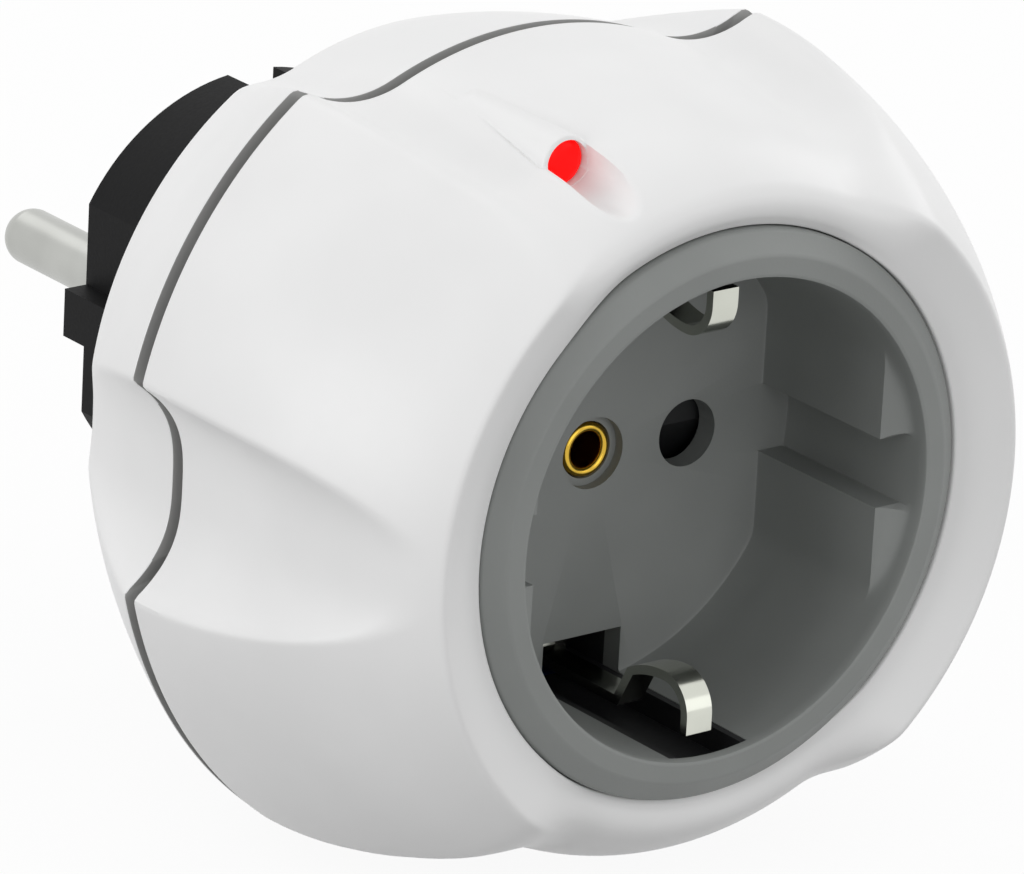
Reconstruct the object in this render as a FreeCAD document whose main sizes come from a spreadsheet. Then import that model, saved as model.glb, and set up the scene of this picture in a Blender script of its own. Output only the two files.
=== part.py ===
# Surge protector adapter for a wall socket: a two pin plug at the rear, a round socket at the front.
# Millimetres. The origin is the middle of the plug's rear face, which meets the wall socket.
# +X is right as seen from the front, +Y goes into the wall and +Z is up.
# A depth is measured from the front face of the socket's collar towards the wall.

import FreeCAD, Part
import math
import os

from FreeCAD import Placement, Rotation, Vector

SIZES = {
    # Housing, along its depth
    "body_depth": (65.4, "collar front to the plug's rear face"),
    "crest_forward": (0.9, "pads stand this far in front of the collar"),
    "crown_depth": (28.5, "depth where the front shell is widest"),
    "split_depth": (27.8, "rear edge of the front shell"),
    "split_gap": (1.25, "visible gap between the shells"),
    "rim_depth": (44.4, "rear face of the rear shell"),
    # Housing, across
    "core_radius": (32.57, "widest radius between the pads"),
    "pad_rise": (5.33, "pads stand this far out of the core at the widest place"),
    "crest_share": (0.3315, "front crest of the pads, as a share of the way from the collar to the widest pads"),
    "pad_step": (0.35, "rear shell is this much smaller than the front one at the gap"),
    "pad_rim_fall": (7.8, "pads are this much smaller at the rear rim"),
    "pad_rear_bow": (71.0, "radius of the rear pad profile"),
    "core_step": (0.14, "rear core is this much smaller at the gap"),
    "core_rim_fall": (4.67, "core is this much smaller at the rear rim"),
    "core_rear_bow": (70.0, "radius of the rear core profile"),
    "shoulder_share": (0.752, "where the front dome turns into the side, on the way from the collar to the widest core"),
    "shoulder_depth": (8.0, "depth of that turn"),
    "brow_share": (0.2724, "where the front lip turns into the dome, on that way"),
    "brow_depth": (1.0, "depth of that turn"),
    "lip_depth": (1.6, "depth of the shell's edge round the collar"),
    "shell_wall": (2.4, "housing wall"),
    "recess_half_angle": (23.4, "half angle of the plain part of each recess"),
    "recess_corner": (10.0, "radius that blends a recess into its pads"),
    # Finger scoops
    "scoop_radius": (10.4, "radius of the scoop's section"),
    "scoop_out": (5.0, "scoop axis beyond the widest pads"),
    "scoop_front_bow": (142.0, "bow of the scoop axis in the front shell"),
    "scoop_turn_depth": (30.0, "depth where the scoop axis turns inwards"),
    "scoop_rear_bow": (44.8, "bow of the scoop axis in the rear shell"),
    # Socket insert
    "collar_gap": (0.1, "gap between collar and shell"),
    "collar_flat_radius": (21.66, "outer edge of the collar's flat front"),
    "collar_radius": (23.44, "collar where it enters the shell"),
    "collar_bevel": (1.29, "depth of the collar's bevel"),
    "well_radius": (19.8, "socket well"),
    "well_depth": (17.5, "socket well, collar front to floor"),
    "well_wall": (1.8, "wall of the well"),
    "floor_thickness": (2.0, "floor of the well"),
    "shelf_depth": (4.2, "inner face of the shell that the insert's flange meets"),
    "flange_radius": (24.2, "insert's flange"),
    "flange_thickness": (2.0, "insert's flange"),
    "guide_flat": (17.04, "guide pads' flats, from the middle"),
    "guide_depth": (2.65, "front of the guide pads"),
    "guide_groove": (5.8, "height of the guide groove"),
    "clip_slot_width": (7.8, "opening for an earth clip"),
    "clip_slot_start": (15.5, "inner edge of that opening, from the middle"),
    "clip_slot_depth": (0.9, "front edge of that opening"),
    "clip_slot_reach": (22.1, "outer wall of that opening inside the collar"),
    "cradle_gap": (0.05, "black lining in that opening"),
    "cradle_wall": (0.6, "black lining of that opening"),
    "cradle_side": (19.45, "inner edge of the lining's sides, from the middle"),
    "cradle_end": (23.8, "rear end of the lining"),
    "cradle_ear": (5.4, "lining's ears behind the flange, from the middle"),
    "pin_spacing": (19.0, "between the two pins, plug and socket alike"),
    "pin_hole_radius": (2.825, "pin hole in the well floor"),
    "bush_recess_radius": (3.0, "recess round the bush in the well floor"),
    "bush_recess_depth": (0.9, "recess round the bush in the well floor"),
    "bush_hole_gap": (0.1, "bush in its hole in the well floor"),
    # Bush, shutter and its spring
    "bush_radius": (2.3, "brass bush, outside"),
    "bush_bore_radius": (1.57, "brass bush, inside"),
    "bush_setback": (0.7, "bush front behind the floor"),
    "bush_length": (11.8, "brass bush"),
    "running_gap": (0.05, "clearance of a part that turns on the bush"),
    "play": (0.3, "clearance round a moving part"),
    "shutter_thickness": (2.1, "shutter plate"),
    "shutter_radius": (12.8, "shutter wings"),
    "shutter_hub_radius": (4.6, "shutter hub"),
    "shutter_wing_angle": (40.0, "angle that each wing covers"),
    "shutter_ramp": (1.2, "depth of the ramp that a pin pushes"),
    "spring_wire_radius": (0.3, "shutter spring wire"),
    "spring_radius": (3.6, "shutter spring, to the wire's middle"),
    "spring_pitch": (0.9, "shutter spring"),
    "spring_turns": (3.0, "shutter spring"),
    # Contact carrier
    "carrier_radius": (20.6, "contact carrier"),
    "carrier_length": (14.5, "contact carrier"),
    "chamber_width": (8.4, "contact chamber"),
    "chamber_height": (10.0, "contact chamber"),
    "chamber_roof": (1.2, "carrier between the shutter and a chamber"),
    "standoff_length": (2.0, "carrier to circuit board"),
    "standoff_radius": (2.6, "carrier's pillars for the board"),
    "fixing_x": (13.5, "inner screws from the middle, across"),
    "fixing_z": (11.0, "inner screws from the middle, up and down"),
    # Contacts, busbars and earth parts
    "sleeve_radius": (3.4, "contact sleeve, outside"),
    "sleeve_slit": (0.8, "slit along the sleeve"),
    "contact_gap": (0.2, "sleeve behind the chamber's roof"),
    "plate_thickness": (0.8, "contact base plate"),
    "plate_width": (10.0, "contact base plate"),
    "plate_height": (12.0, "contact base plate"),
    "tail_width": (3.0, "contact tail through the board"),
    "tail_thickness": (1.0, "contact tail through the board"),
    "busbar_thickness": (1.0, "busbars and earth bridge"),
    "busbar_width": (7.0, "busbar"),
    "busbar_height": (12.0, "busbar"),
    "bridge_width": (5.0, "earth bridge"),
    "bridge_arm_start": (18.2, "inner face of the bridge's arms, from the middle"),
    "bridge_arm_thickness": (0.8, "bridge's arms"),
    "clip_width": (2.5, "earth clip"),
    "clip_thickness": (0.8, "earth clip"),
    "clip_nose_depth": (2.2, "front of the clip"),
    "clip_nose_end": (18.5, "end of the clip's nose, from the middle"),
    "clip_curl": (3.1, "radius of the clip's curled front"),
    "clip_peak": (14.1, "where the clip comes nearest to a plug, from the middle"),
    "clip_back_depth": (10.0, "where the clip's grip ends"),
    "clip_back": (15.4, "that place, from the middle"),
    "clip_leg_run": (1.5, "depth over which the clip turns outwards to its leg"),
    "hinge_depth": (24.0, "clip hinge behind the collar's front"),
    "hinge_reach": (18.6, "clip hinge from the middle"),
    "hinge_radius": (0.8, "clip hinge pin"),
    "hinge_eye_radius": (1.6, "clip's eye, outside"),
    "hinge_gap": (0.3, "bridge's prongs beside the clip's eye"),
    "strip_width": (4.0, "plug's earth strip"),
    "strip_thickness": (0.8, "plug's earth strip"),
    "strip_seat": (15.9, "floor of the plug's earth recess, from the middle"),
    # Plug body and pins
    "plug_radius": (18.2, "plug body"),
    "plug_flat": (15.8, "plug body's side flats, from the middle"),
    "plug_rib": (17.9, "guide ribs, from the middle"),
    "plug_rib_height": (4.1, "guide ribs"),
    "plug_flange_radius": (20.5, "plug body inside the rear shell"),
    "plug_flange_thickness": (1.2, "plug body inside the rear shell"),
    "plug_floor": (4.0, "plug body's rear wall"),
    "plug_cavity_radius": (14.0, "space inside the plug body"),
    "pin_boss_radius": (4.6, "plastic round each pin"),
    "plug_gap": (0.2, "plug body in the rear shell's opening"),
    "earth_recess_width": (4.6, "recess for a side earth contact"),
    "pin_radius": (2.4, "plug pin"),
    "pin_length": (19.0, "plug pin beyond the rear face"),
    "pin_root_radius": (2.6, "plug pin inside the plug body"),
    "pin_root_out": (0.1, "thicker root beyond the rear face"),
    # Circuit board and what stands on it
    "board_inset": (5.37, "circuit board's edge inside the widest core"),
    "board_thickness": (1.6, "circuit board"),
    "lead_radius": (0.35, "component leads"),
    "lead_end": (0.4, "leads beyond the back of the board"),
    "varistor_radius": (7.0, "varistor disc"),
    "varistor_thickness": (4.4, "varistor disc"),
    "varistor_inset": (7.97, "varistors inside the widest core"),
    "varistor_lift": (0.5, "varistor above the board"),
    "tube_radius": (2.9, "gas discharge tube"),
    "tube_length": (7.0, "gas discharge tube"),
    "fuse_radius": (2.4, "line fuse"),
    "fuse_length": (8.0, "line fuse"),
    "side_part_inset": (10.27, "upright parts inside the widest core, across"),
    "side_part_z": (10.9, "upright parts from the middle, up and down"),
    "thermal_radius": (2.0, "thermal fuse"),
    "thermal_length": (9.0, "thermal fuse"),
    "thermal_x": (3.0, "thermal fuse from the middle, across"),
    "thermal_inset": (9.07, "thermal fuse inside the widest core, up"),
    "thermal_lift": (3.0, "thermal fuse axis above the board"),
    "resistor_radius": (1.1, "lamp resistor"),
    "resistor_length": (5.0, "lamp resistor"),
    "resistor_x": (13.0, "lamp resistor from the middle, across"),
    "resistor_inset": (10.07, "lamp resistor inside the widest core, up"),
    "diode_radius": (1.3, "lamp diode"),
    "diode_length": (4.5, "lamp diode"),
    "diode_x": (13.4, "lamp diode from the middle, across"),
    "diode_inset": (10.97, "lamp diode inside the widest core, up"),
    # Indicator lamp
    "lamp_inset": (2.71, "lamp inside the widest core"),
    "lamp_angle": (20.0, "lamp left of the top, round the axis"),
    "lamp_depth": (10.5, "lamp's front face"),
    "lamp_radius": (1.6, "lamp"),
    "lamp_gap": (0.1, "lamp in its hole"),
    "lamp_length": (3.5, "lamp body in the shell"),
    "lamp_flange_radius": (1.8, "lamp's flange"),
    "lamp_flange_thickness": (0.6, "lamp's flange"),
    "lamp_room": (1.0, "pocket behind the lamp's flange"),
    "lamp_seat_fall": (3.5, "how far the lamp's leads run down in the shell"),
    "lamp_boss_radius": (2.9, "shell round the lamp"),
    "lamp_lead_spacing": (2.1, "lamp's leads, drawn together behind it"),
    "lamp_lead_inset": (8.57, "where the lamp's leads meet the board, inside the widest core"),
    "lamp_slot_length": (14.0, "groove in front of the lamp"),
    "lamp_slot_fall": (3.0, "angle at which that groove falls to the front"),
    "hood_depth": (9.9, "front of the hood over the lamp"),
    "hood_radius": (2.5, "hood over the lamp"),
    "hood_end_radius": (2.0, "rear end of the hood"),
    "hood_length": (9.1, "hood over the lamp"),
    # Screws
    "post_inset": (6.27, "housing screws inside the widest core"),
    "post_radius": (2.6, "posts for the housing screws"),
    "post_root": (2.5, "front end of a post, inside the shell's front wall"),
    "post_meet": (1.0, "posts meet this far behind the rear shell's edge"),
    "screw_radius": (1.45, "housing screw shank"),
    "screw_gap": (0.05, "screw in its thread hole"),
    "screw_free": (0.15, "screw in its clearance hole"),
    "screw_length": (19.4, "housing screw under its head"),
    "screw_head_radius": (2.3, "housing screw head"),
    "screw_head": (1.6, "housing screw head height"),
    "screw_sink": (2.2, "depth of a screw head's pocket"),
    "small_screw_radius": (1.2, "carrier and board screws"),
    "small_head_radius": (2.1, "carrier and board screw heads"),
    "small_head": (1.5, "carrier and board screw head height"),
    "carrier_screw_bite": (1.4, "carrier screws in the well floor"),
    "board_screw_bite": (6.6, "board screws in the carrier"),
    "drive_width": (1.7, "screw drive recess"),
    "drive_depth": (0.9, "screw drive recess"),
    # Seam and sectors
    "tongue_gap": (0.15, "rear shell's tongue inside the front shell"),
    "tongue_wall": (1.5, "rear shell's tongue"),
    "tongue_length": (2.8, "rear shell's tongue, forward of its edge"),
    "pocket_angle": (32.0, "hollow in each pad"),
    "pocket_middle": (34.0, "middle of that hollow, from the horizontal"),
    "pocket_front": (8.0, "front of that hollow"),
    "pocket_rear": (4.4, "rear of that hollow, in front of the rim"),
}

doc = FreeCAD.newDocument("adapter")
dims = doc.addObject("Spreadsheet::Sheet", "dims")
worked = doc.addObject("Spreadsheet::Sheet", "worked")
NODES = []


class Size:
    """A length or angle, as its value and as the sheet formula that gives it."""

    def __init__(self, value, text=None):
        self.value = float(value)
        self.text = text or f"({self.value:.6f})"

    def __add__(self, other):
        other = as_size(other)
        return Size(self.value + other.value, f"({self.text} + {other.text})")

    def __sub__(self, other):
        other = as_size(other)
        return Size(self.value - other.value, f"({self.text} - {other.text})")

    def __mul__(self, other):
        other = as_size(other)
        return Size(self.value * other.value, f"({self.text} * {other.text})")

    def __truediv__(self, other):
        other = as_size(other)
        return Size(self.value / other.value, f"({self.text} / {other.text})")

    def __neg__(self):
        return Size(-self.value, f"(0 - {self.text})")

    def __radd__(self, other):
        return as_size(other) + self

    def __rsub__(self, other):
        return as_size(other) - self

    def __rmul__(self, other):
        return as_size(other) * self


def as_size(thing):
    return thing if isinstance(thing, Size) else Size(thing)


def root(size):
    return Size(math.sqrt(size.value), f"sqrt({size.text})")


def larger(a, b):
    return Size(max(a.value, b.value), f"max({a.text}; {b.text})")


def sine(angle):
    return Size(math.sin(math.radians(angle.value)), f"sin({angle.text})")


def cosine(angle):
    return Size(math.cos(math.radians(angle.value)), f"cos({angle.text})")


def fill_sheet():
    """Write every driving size to the sheet and give it back as Size objects."""
    sizes = {}
    for row, (name, (value, note)) in enumerate(SIZES.items(), start=1):
        dims.set(f"A{row}", name)
        dims.set(f"B{row}", str(value))
        dims.set(f"C{row}", note)
        dims.setAlias(f"B{row}", name)
        sizes[name] = Size(value, f"dims.{name}")
    return sizes


def work_out(name, size):
    """Keep a derived size in the second sheet, so that other formulas stay short."""
    row = len(WORKED) + 1
    worked.set(f"A{row}", name)
    worked.set(f"B{row}", "=" + size.text)
    worked.setAlias(f"B{row}", name)
    WORKED.append(name)
    return Size(size.value, f"worked.{name}")


WORKED = []
S = fill_sheet()

# Sizes that follow the housing's widest radii
lip_radius = work_out("lip_radius", S["collar_radius"] + S["collar_gap"])
core_way = S["core_radius"] - lip_radius
S["pad_radius"] = work_out("pad_radius", S["core_radius"] + S["pad_rise"])
S["crest_radius"] = work_out("crest_radius", lip_radius + (S["pad_radius"] - lip_radius) * S["crest_share"])
S["brow_radius"] = work_out("brow_radius", lip_radius + core_way * S["brow_share"])
S["shoulder_radius"] = work_out("shoulder_radius", lip_radius + core_way * S["shoulder_share"])
S["pad_rim_radius"] = work_out("pad_rim_radius", S["pad_radius"] - S["pad_rim_fall"])
S["core_rim_radius"] = work_out("core_rim_radius", S["core_radius"] - S["core_rim_fall"])
S["scoop_reach"] = work_out("scoop_reach", S["pad_radius"] + S["scoop_out"])
S["post_reach"] = work_out("post_reach", (S["core_radius"] - S["post_inset"]) * root(Size(0.5)))
INSIDE_CORE = {
    "board_radius": "board_inset",
    "varistor_reach": "varistor_inset",
    "side_part_x": "side_part_inset",
    "thermal_z": "thermal_inset",
    "resistor_z": "resistor_inset",
    "diode_z": "diode_inset",
    "lamp_reach": "lamp_inset",
    "lamp_lead_z": "lamp_lead_inset",
}
for reach, inset in INSIDE_CORE.items():
    S[reach] = work_out(reach, S["core_radius"] - S[inset])


# Binding and placing

def bind(thing, path, size):
    thing.setExpression(path, as_size(size).text)


def place(thing, x, depth, z, turn=Rotation()):
    """Put a primitive at a place given by X, depth and Z."""
    y = as_size(depth) - S["body_depth"]
    corner = Vector(as_size(x).value, y.value, as_size(z).value)
    thing.Placement = Placement(corner, turn)
    bind(thing, "Placement.Base.x", x)
    bind(thing, "Placement.Base.y", y)
    bind(thing, "Placement.Base.z", z)
    return thing


ALONG_Y = Rotation(Vector(1, 0, 0), -90)
ALONG_X = Rotation(Vector(0, 1, 0), 90)
ALONG_Z = Rotation()


# Primitives and booleans

def rod(name, radius, start, end, x=0, z=0):
    """A cylinder along Y from one depth to another."""
    thing = doc.addObject("Part::Cylinder", name)
    bind(thing, "Radius", radius)
    bind(thing, "Height", as_size(end) - start)
    return place(thing, x, start, z, ALONG_Y)


def cross_rod(name, radius, length, x, depth, z, turn):
    """A cylinder along X or Z from its given end."""
    thing = doc.addObject("Part::Cylinder", name)
    bind(thing, "Radius", radius)
    bind(thing, "Height", length)
    return place(thing, x, depth, z, turn)


def block(name, x, depth, z):
    """A box between the low and high value of X, depth and Z."""
    thing = doc.addObject("Part::Box", name)
    bind(thing, "Length", as_size(x[1]) - x[0])
    bind(thing, "Width", as_size(depth[1]) - depth[0])
    bind(thing, "Height", as_size(z[1]) - z[0])
    return place(thing, x[0], depth[0], z[0])


def fuse(name, *parts):
    thing = doc.addObject("Part::MultiFuse", name)
    thing.Shapes = list(parts)
    return thing


def common(name, *parts):
    thing = doc.addObject("Part::MultiCommon", name)
    thing.Shapes = list(parts)
    return thing


def cut(name, base, *tools):
    thing = doc.addObject("Part::Cut", name)
    thing.Base = base
    thing.Tool = tools[0] if len(tools) == 1 else fuse(name + "_tools", *tools)
    return thing


def group(name, *parts):
    """Separate solids in one node."""
    thing = doc.addObject("Part::Compound", name)
    thing.Links = list(parts)
    return thing


def own(name, shape):
    """A piece whose shape is set directly."""
    thing = doc.addObject("Part::Feature", name)
    thing.Shape = shape
    return thing


def node(thing, label):
    """Name a finished sub-part."""
    thing.Label = label
    NODES.append(thing)
    return thing


# Sketches: closed or open outlines of lines and arcs

def origin_plane(body, role):
    return next(f for f in body.Origin.OriginFeatures if f.Role == role)


def centre_of(start, end, radius, side):
    """Centre of the arc from start to end: side 1 keeps it on the left of the way along, -1 on the right."""
    half_x = (end[0] - start[0]) / 2
    half_y = (end[1] - start[1]) / 2
    reach = root(radius * radius / (half_x * half_x + half_y * half_y) - 1)
    return (start[0] + half_x - side * half_y * reach, start[1] + half_y + side * half_x * reach)


def add_run(sketch, start, end, bend):
    """One side of an outline: a line, or an arc of a radius with its centre left (1) or right (-1)."""
    a = Vector(start[0].value, start[1].value, 0)
    b = Vector(end[0].value, end[1].value, 0)
    if bend is None:
        return sketch.addGeometry(Part.LineSegment(a, b), False), 1, 2
    radius, side = bend
    middle = centre_of(start, end, radius, side)
    c = Vector(middle[0].value, middle[1].value, 0)
    from_a = math.atan2(a.y - c.y, a.x - c.x)
    from_b = math.atan2(b.y - c.y, b.x - c.x)
    circle = Part.Circle(c, Vector(0, 0, 1), radius.value)
    if side > 0:
        return sketch.addGeometry(Part.ArcOfCircle(circle, from_a, from_b), False), 1, 2
    return sketch.addGeometry(Part.ArcOfCircle(circle, from_b, from_a), False), 2, 1


def pin_down(sketch, run, end, point, tag):
    """Fix a corner at its formulas."""
    import Sketcher
    for axis, kind, size in ((0, "DistanceX", point[0]), (1, "DistanceY", point[1])):
        if size.value == 0:
            sketch.addConstraint(Sketcher.Constraint("PointOnObject", run, end, -2 + axis))
            continue
        row = sketch.addConstraint(Sketcher.Constraint(kind, -1, 1, run, end, size.value))
        sketch.renameConstraint(row, f"{tag}_{'xy'[axis]}")
        sketch.setExpression(f"Constraints.{tag}_{'xy'[axis]}", size.text)


def outline(sketch, corners, bends, closed=True):
    """Draw and constrain an outline: corners are (x, y) sizes, bends has an entry for each arc."""
    import Sketcher
    corners = [(as_size(x), as_size(y)) for x, y in corners]
    count = len(corners) if closed else len(corners) - 1
    runs = []
    for i in range(count):
        runs.append(add_run(sketch, corners[i], corners[(i + 1) % len(corners)], bends.get(i)))
    for i, (run, first, last) in enumerate(runs):
        pin_down(sketch, run, first, corners[i], f"corner{i}")
        if i in bends:
            row = sketch.addConstraint(Sketcher.Constraint("Radius", run, bends[i][0].value))
            sketch.renameConstraint(row, f"bend{i}")
            sketch.setExpression(f"Constraints.bend{i}", bends[i][0].text)
        if closed or i + 1 < count:
            after, after_first, _ = runs[(i + 1) % count]
            sketch.addConstraint(Sketcher.Constraint("Coincident", run, last, after, after_first))
    if not closed:
        pin_down(sketch, runs[-1][0], runs[-1][2], corners[-1], f"corner{count}")
    return sketch


def half_section(body, name, angle=0.0):
    """A sketch of radius across and depth up, in the half plane at an angle round the axis."""
    sketch = body.newObject("Sketcher::SketchObject", name)
    sketch.AttachmentSupport = (origin_plane(body, "XY_Plane"), [""])
    sketch.MapMode = "FlatFace"
    shift = Vector(0, -S["body_depth"].value, 0)
    sketch.AttachmentOffset = Placement(shift, Rotation(Vector(0, 1, 0), -angle))
    bind(sketch, "AttachmentOffset.Base.y", -S["body_depth"])
    return sketch


def turned(body, kind, name, corners, bends, angle=0.0, sweep=None):
    """A solid or a groove of revolution about Y, all round or over a sweep centred on an angle."""
    sketch = outline(half_section(body, name + "_section", angle), corners, bends)
    feature = body.newObject(kind, name)
    feature.Profile = sketch
    feature.ReferenceAxis = (sketch, ["V_Axis"])
    feature.Angle = 360.0
    if sweep is not None:
        feature.Midplane = True
        bind(feature, "Angle", sweep)
    return feature


def new_body(name):
    return doc.addObject("PartDesign::Body", name)


# The housing's profiles, each corner as radius and depth

def tangent_radius(point, joint, normal):
    """Radius of the arc through point that meets joint at right angles to a unit normal."""
    across = joint[0] - point[0]
    along = joint[1] - point[1]
    return (across * across + along * along) / (2 * (normal[0] * across + normal[1] * along))


def crown_radius(point, widest):
    """Radius of the arc from point that ends parallel to the axis at the crown."""
    across = widest - point[0]
    along = S["crown_depth"] - point[1]
    return (across * across + along * along) / (2 * across)


LIP = (lip_radius, S["lip_depth"])
CREST = (S["crest_radius"], -S["crest_forward"])
BROW = (S["brow_radius"], S["brow_depth"])
SHOULDER = (S["shoulder_radius"], S["shoulder_depth"])

pad_bow = work_out("pad_bow", crown_radius(CREST, S["pad_radius"]))
core_bow = work_out("core_bow", crown_radius(SHOULDER, S["core_radius"]))
shoulder_normal = (
    (SHOULDER[0] - S["core_radius"] + core_bow) / core_bow,
    (SHOULDER[1] - S["crown_depth"]) / core_bow,
)
dome_bow = work_out("dome_bow", tangent_radius(BROW, SHOULDER, shoulder_normal))
DOME = (
    work_out("dome_middle_radius", SHOULDER[0] - dome_bow * shoulder_normal[0]),
    work_out("dome_middle_depth", SHOULDER[1] - dome_bow * shoulder_normal[1]),
)
brow_normal = ((BROW[0] - DOME[0]) / dome_bow, (BROW[1] - DOME[1]) / dome_bow)
nose_bow = work_out("nose_bow", tangent_radius(LIP, BROW, brow_normal))
nose_radius = work_out("nose_radius", BROW[0] - nose_bow * brow_normal[0])
nose_depth = work_out("nose_depth", BROW[1] - nose_bow * brow_normal[1] - nose_bow)
NOSE = (nose_radius, nose_depth)
dish_rise = S["crest_forward"] + nose_depth
dish_reach = S["crest_radius"] - nose_radius
dish_bow = work_out("dish_bow", (dish_reach * dish_reach + dish_rise * dish_rise) / (2 * dish_rise))

rear_edge = work_out("rear_edge", S["split_depth"] + S["split_gap"])
PAD_FRONT_EDGE = (S["pad_radius"] - S["pad_step"], rear_edge)
PAD_RIM = (S["pad_rim_radius"], S["rim_depth"])
CORE_FRONT_EDGE = (S["core_radius"] - S["core_step"], rear_edge)
CORE_RIM = (S["core_rim_radius"], S["rim_depth"])
core_rear_middle = centre_of(CORE_FRONT_EDGE, CORE_RIM, S["core_rear_bow"], 1)
pad_rear_middle = centre_of(PAD_FRONT_EDGE, PAD_RIM, S["pad_rear_bow"], 1)
CORE_REAR = (
    work_out("core_rear_middle_radius", core_rear_middle[0]),
    work_out("core_rear_middle_depth", core_rear_middle[1]),
)
PAD_REAR = (
    work_out("pad_rear_middle_radius", pad_rear_middle[0]),
    work_out("pad_rear_middle_depth", pad_rear_middle[1]),
)


def on_arc(middle, bow, depth):
    """Radius of a profile arc at a depth."""
    along = as_size(depth) - middle[1]
    return middle[0] + root(bow * bow - along * along)


def moved_out(middle, bow, point, reach):
    """A profile corner moved square off its arc, outwards for a positive reach."""
    ratio = (bow + reach) / bow
    return (middle[0] + (point[0] - middle[0]) * ratio, middle[1] + (point[1] - middle[1]) * ratio)


def run_on(middle, bow, point, length):
    """A point beyond an arc's end, along its tangent: positive is towards the wall."""
    step = as_size(length) / bow
    return (point[0] - (point[1] - middle[1]) * step, point[1] + (point[0] - middle[0]) * step)


CROWN_CORE = (S["core_radius"] - core_bow, S["crown_depth"])
CROWN_PAD = (S["pad_radius"] - pad_bow, S["crown_depth"])
pad_at_split = work_out("pad_at_split", on_arc(CROWN_PAD, pad_bow, S["split_depth"]))
inner_at_split = work_out("inner_at_split", on_arc(CROWN_CORE, core_bow - S["shell_wall"], S["split_depth"]))


def pocket_angles():
    """Middles of the four pads' hollows, round the axis from +X towards +Z."""
    first = S["pocket_middle"].value
    return (first, 180.0 - first, 180.0 + first, 360.0 - first)


def pipe(name, angle, radius, corners, bends):
    """A round bar of a radius that follows a line in the half plane at an angle."""
    body = new_body(name)
    line = outline(half_section(body, name + "_line", angle), corners, bends, closed=False)
    ring = body.newObject("Sketcher::SketchObject", name + "_ring")
    ring.AttachmentSupport = (line, ["Edge1"])
    ring.MapMode = "NormalToEdge"
    ring.MapPathParameter = 0.0
    circle_at(ring, radius, "ring")
    bar = body.newObject("PartDesign::AdditivePipe", name + "_bar")
    bar.Profile = ring
    bar.Spine = (line, [])
    return body


def circle_at(sketch, radius, tag):
    """A circle about the sketch's origin."""
    import Sketcher
    radius = as_size(radius)
    run = sketch.addGeometry(Part.Circle(Vector(0, 0, 0), Vector(0, 0, 1), radius.value), False)
    sketch.addConstraint(Sketcher.Constraint("Coincident", run, 3, -1, 1))
    row = sketch.addConstraint(Sketcher.Constraint("Radius", run, radius.value))
    sketch.renameConstraint(row, tag)
    sketch.setExpression(f"Constraints.{tag}", radius.text)


def profile_pad(name, corners, bends, width):
    """A flat strip's side view, as depth and height, padded evenly to both sides of X = 0."""
    body = new_body(name)
    sketch = body.newObject("Sketcher::SketchObject", name + "_side")
    sketch.AttachmentSupport = (origin_plane(body, "YZ_Plane"), [""])
    sketch.MapMode = "FlatFace"
    sketch.AttachmentOffset = Placement(Vector(-S["body_depth"].value, 0, 0), Rotation())
    bind(sketch, "AttachmentOffset.Base.x", -S["body_depth"])
    outline(sketch, corners, bends)
    pad = body.newObject("PartDesign::Pad", name + "_pad")
    pad.Profile = sketch
    pad.Midplane = True
    bind(pad, "Length", width)
    return body


def circle_edges(shape, radius, depth):
    """Names of the circular edges of a radius round the axis, at a depth."""
    names = []
    for i, edge in enumerate(shape.Edges):
        level = edge.BoundBox.Center.y + S["body_depth"].value
        if isinstance(edge.Curve, Part.Circle) and abs(edge.Curve.Radius - radius.value) < 0.001:
            if abs(level - as_size(depth).value) < 0.01:
                names.append(f"Edge{i + 1}")
    return names


def both(sign, size):
    """A size on the side given by sign."""
    size = as_size(size)
    return size if sign > 0 else -size


def span(sign, low, high):
    """The low and high value of a stretch on one side of the middle."""
    return (as_size(low), as_size(high)) if sign > 0 else (-as_size(high), -as_size(low))


def middle_span(width):
    half = as_size(width) / 2
    return (-half, half)


CORNERS = ((1, 1), (-1, 1), (-1, -1), (1, -1))
SIDES = (1, -1)
post = S["post_reach"]
wall = S["shell_wall"]
post_end = rear_edge + S["post_meet"]
plate_front = work_out("plate_front", S["rim_depth"] - wall)


# Cutters for the recesses and the finger scoops

def recess_cutters(name, corners, bends, line, line_bends):
    """Both recesses of a shell: the plain sectors and the blends at their four ends."""
    tools = []
    for sign in SIDES:
        body = new_body(f"{name}_recess_{'lower upper'.split()[sign > 0]}")
        turned(body, "PartDesign::Revolution", body.Name + "_turn", corners, bends,
               90.0 * sign, S["recess_half_angle"] * 2)
        tools.append(body)
    for i, (x, z) in enumerate(CORNERS):
        angle = math.degrees(math.atan2(z, 0)) - x * z * S["recess_half_angle"].value
        tools.append(pipe(f"{name}_blend_{i + 1}", angle, S["recess_corner"], line, line_bends))
    return tools


def scoop_cutters(name, line, line_bends):
    tools = []
    for i, angle in enumerate((0.0, 180.0)):
        tools.append(pipe(f"{name}_scoop_{i + 1}", angle, S["scoop_radius"], line, line_bends))
    return tools


# Front shell

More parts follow.
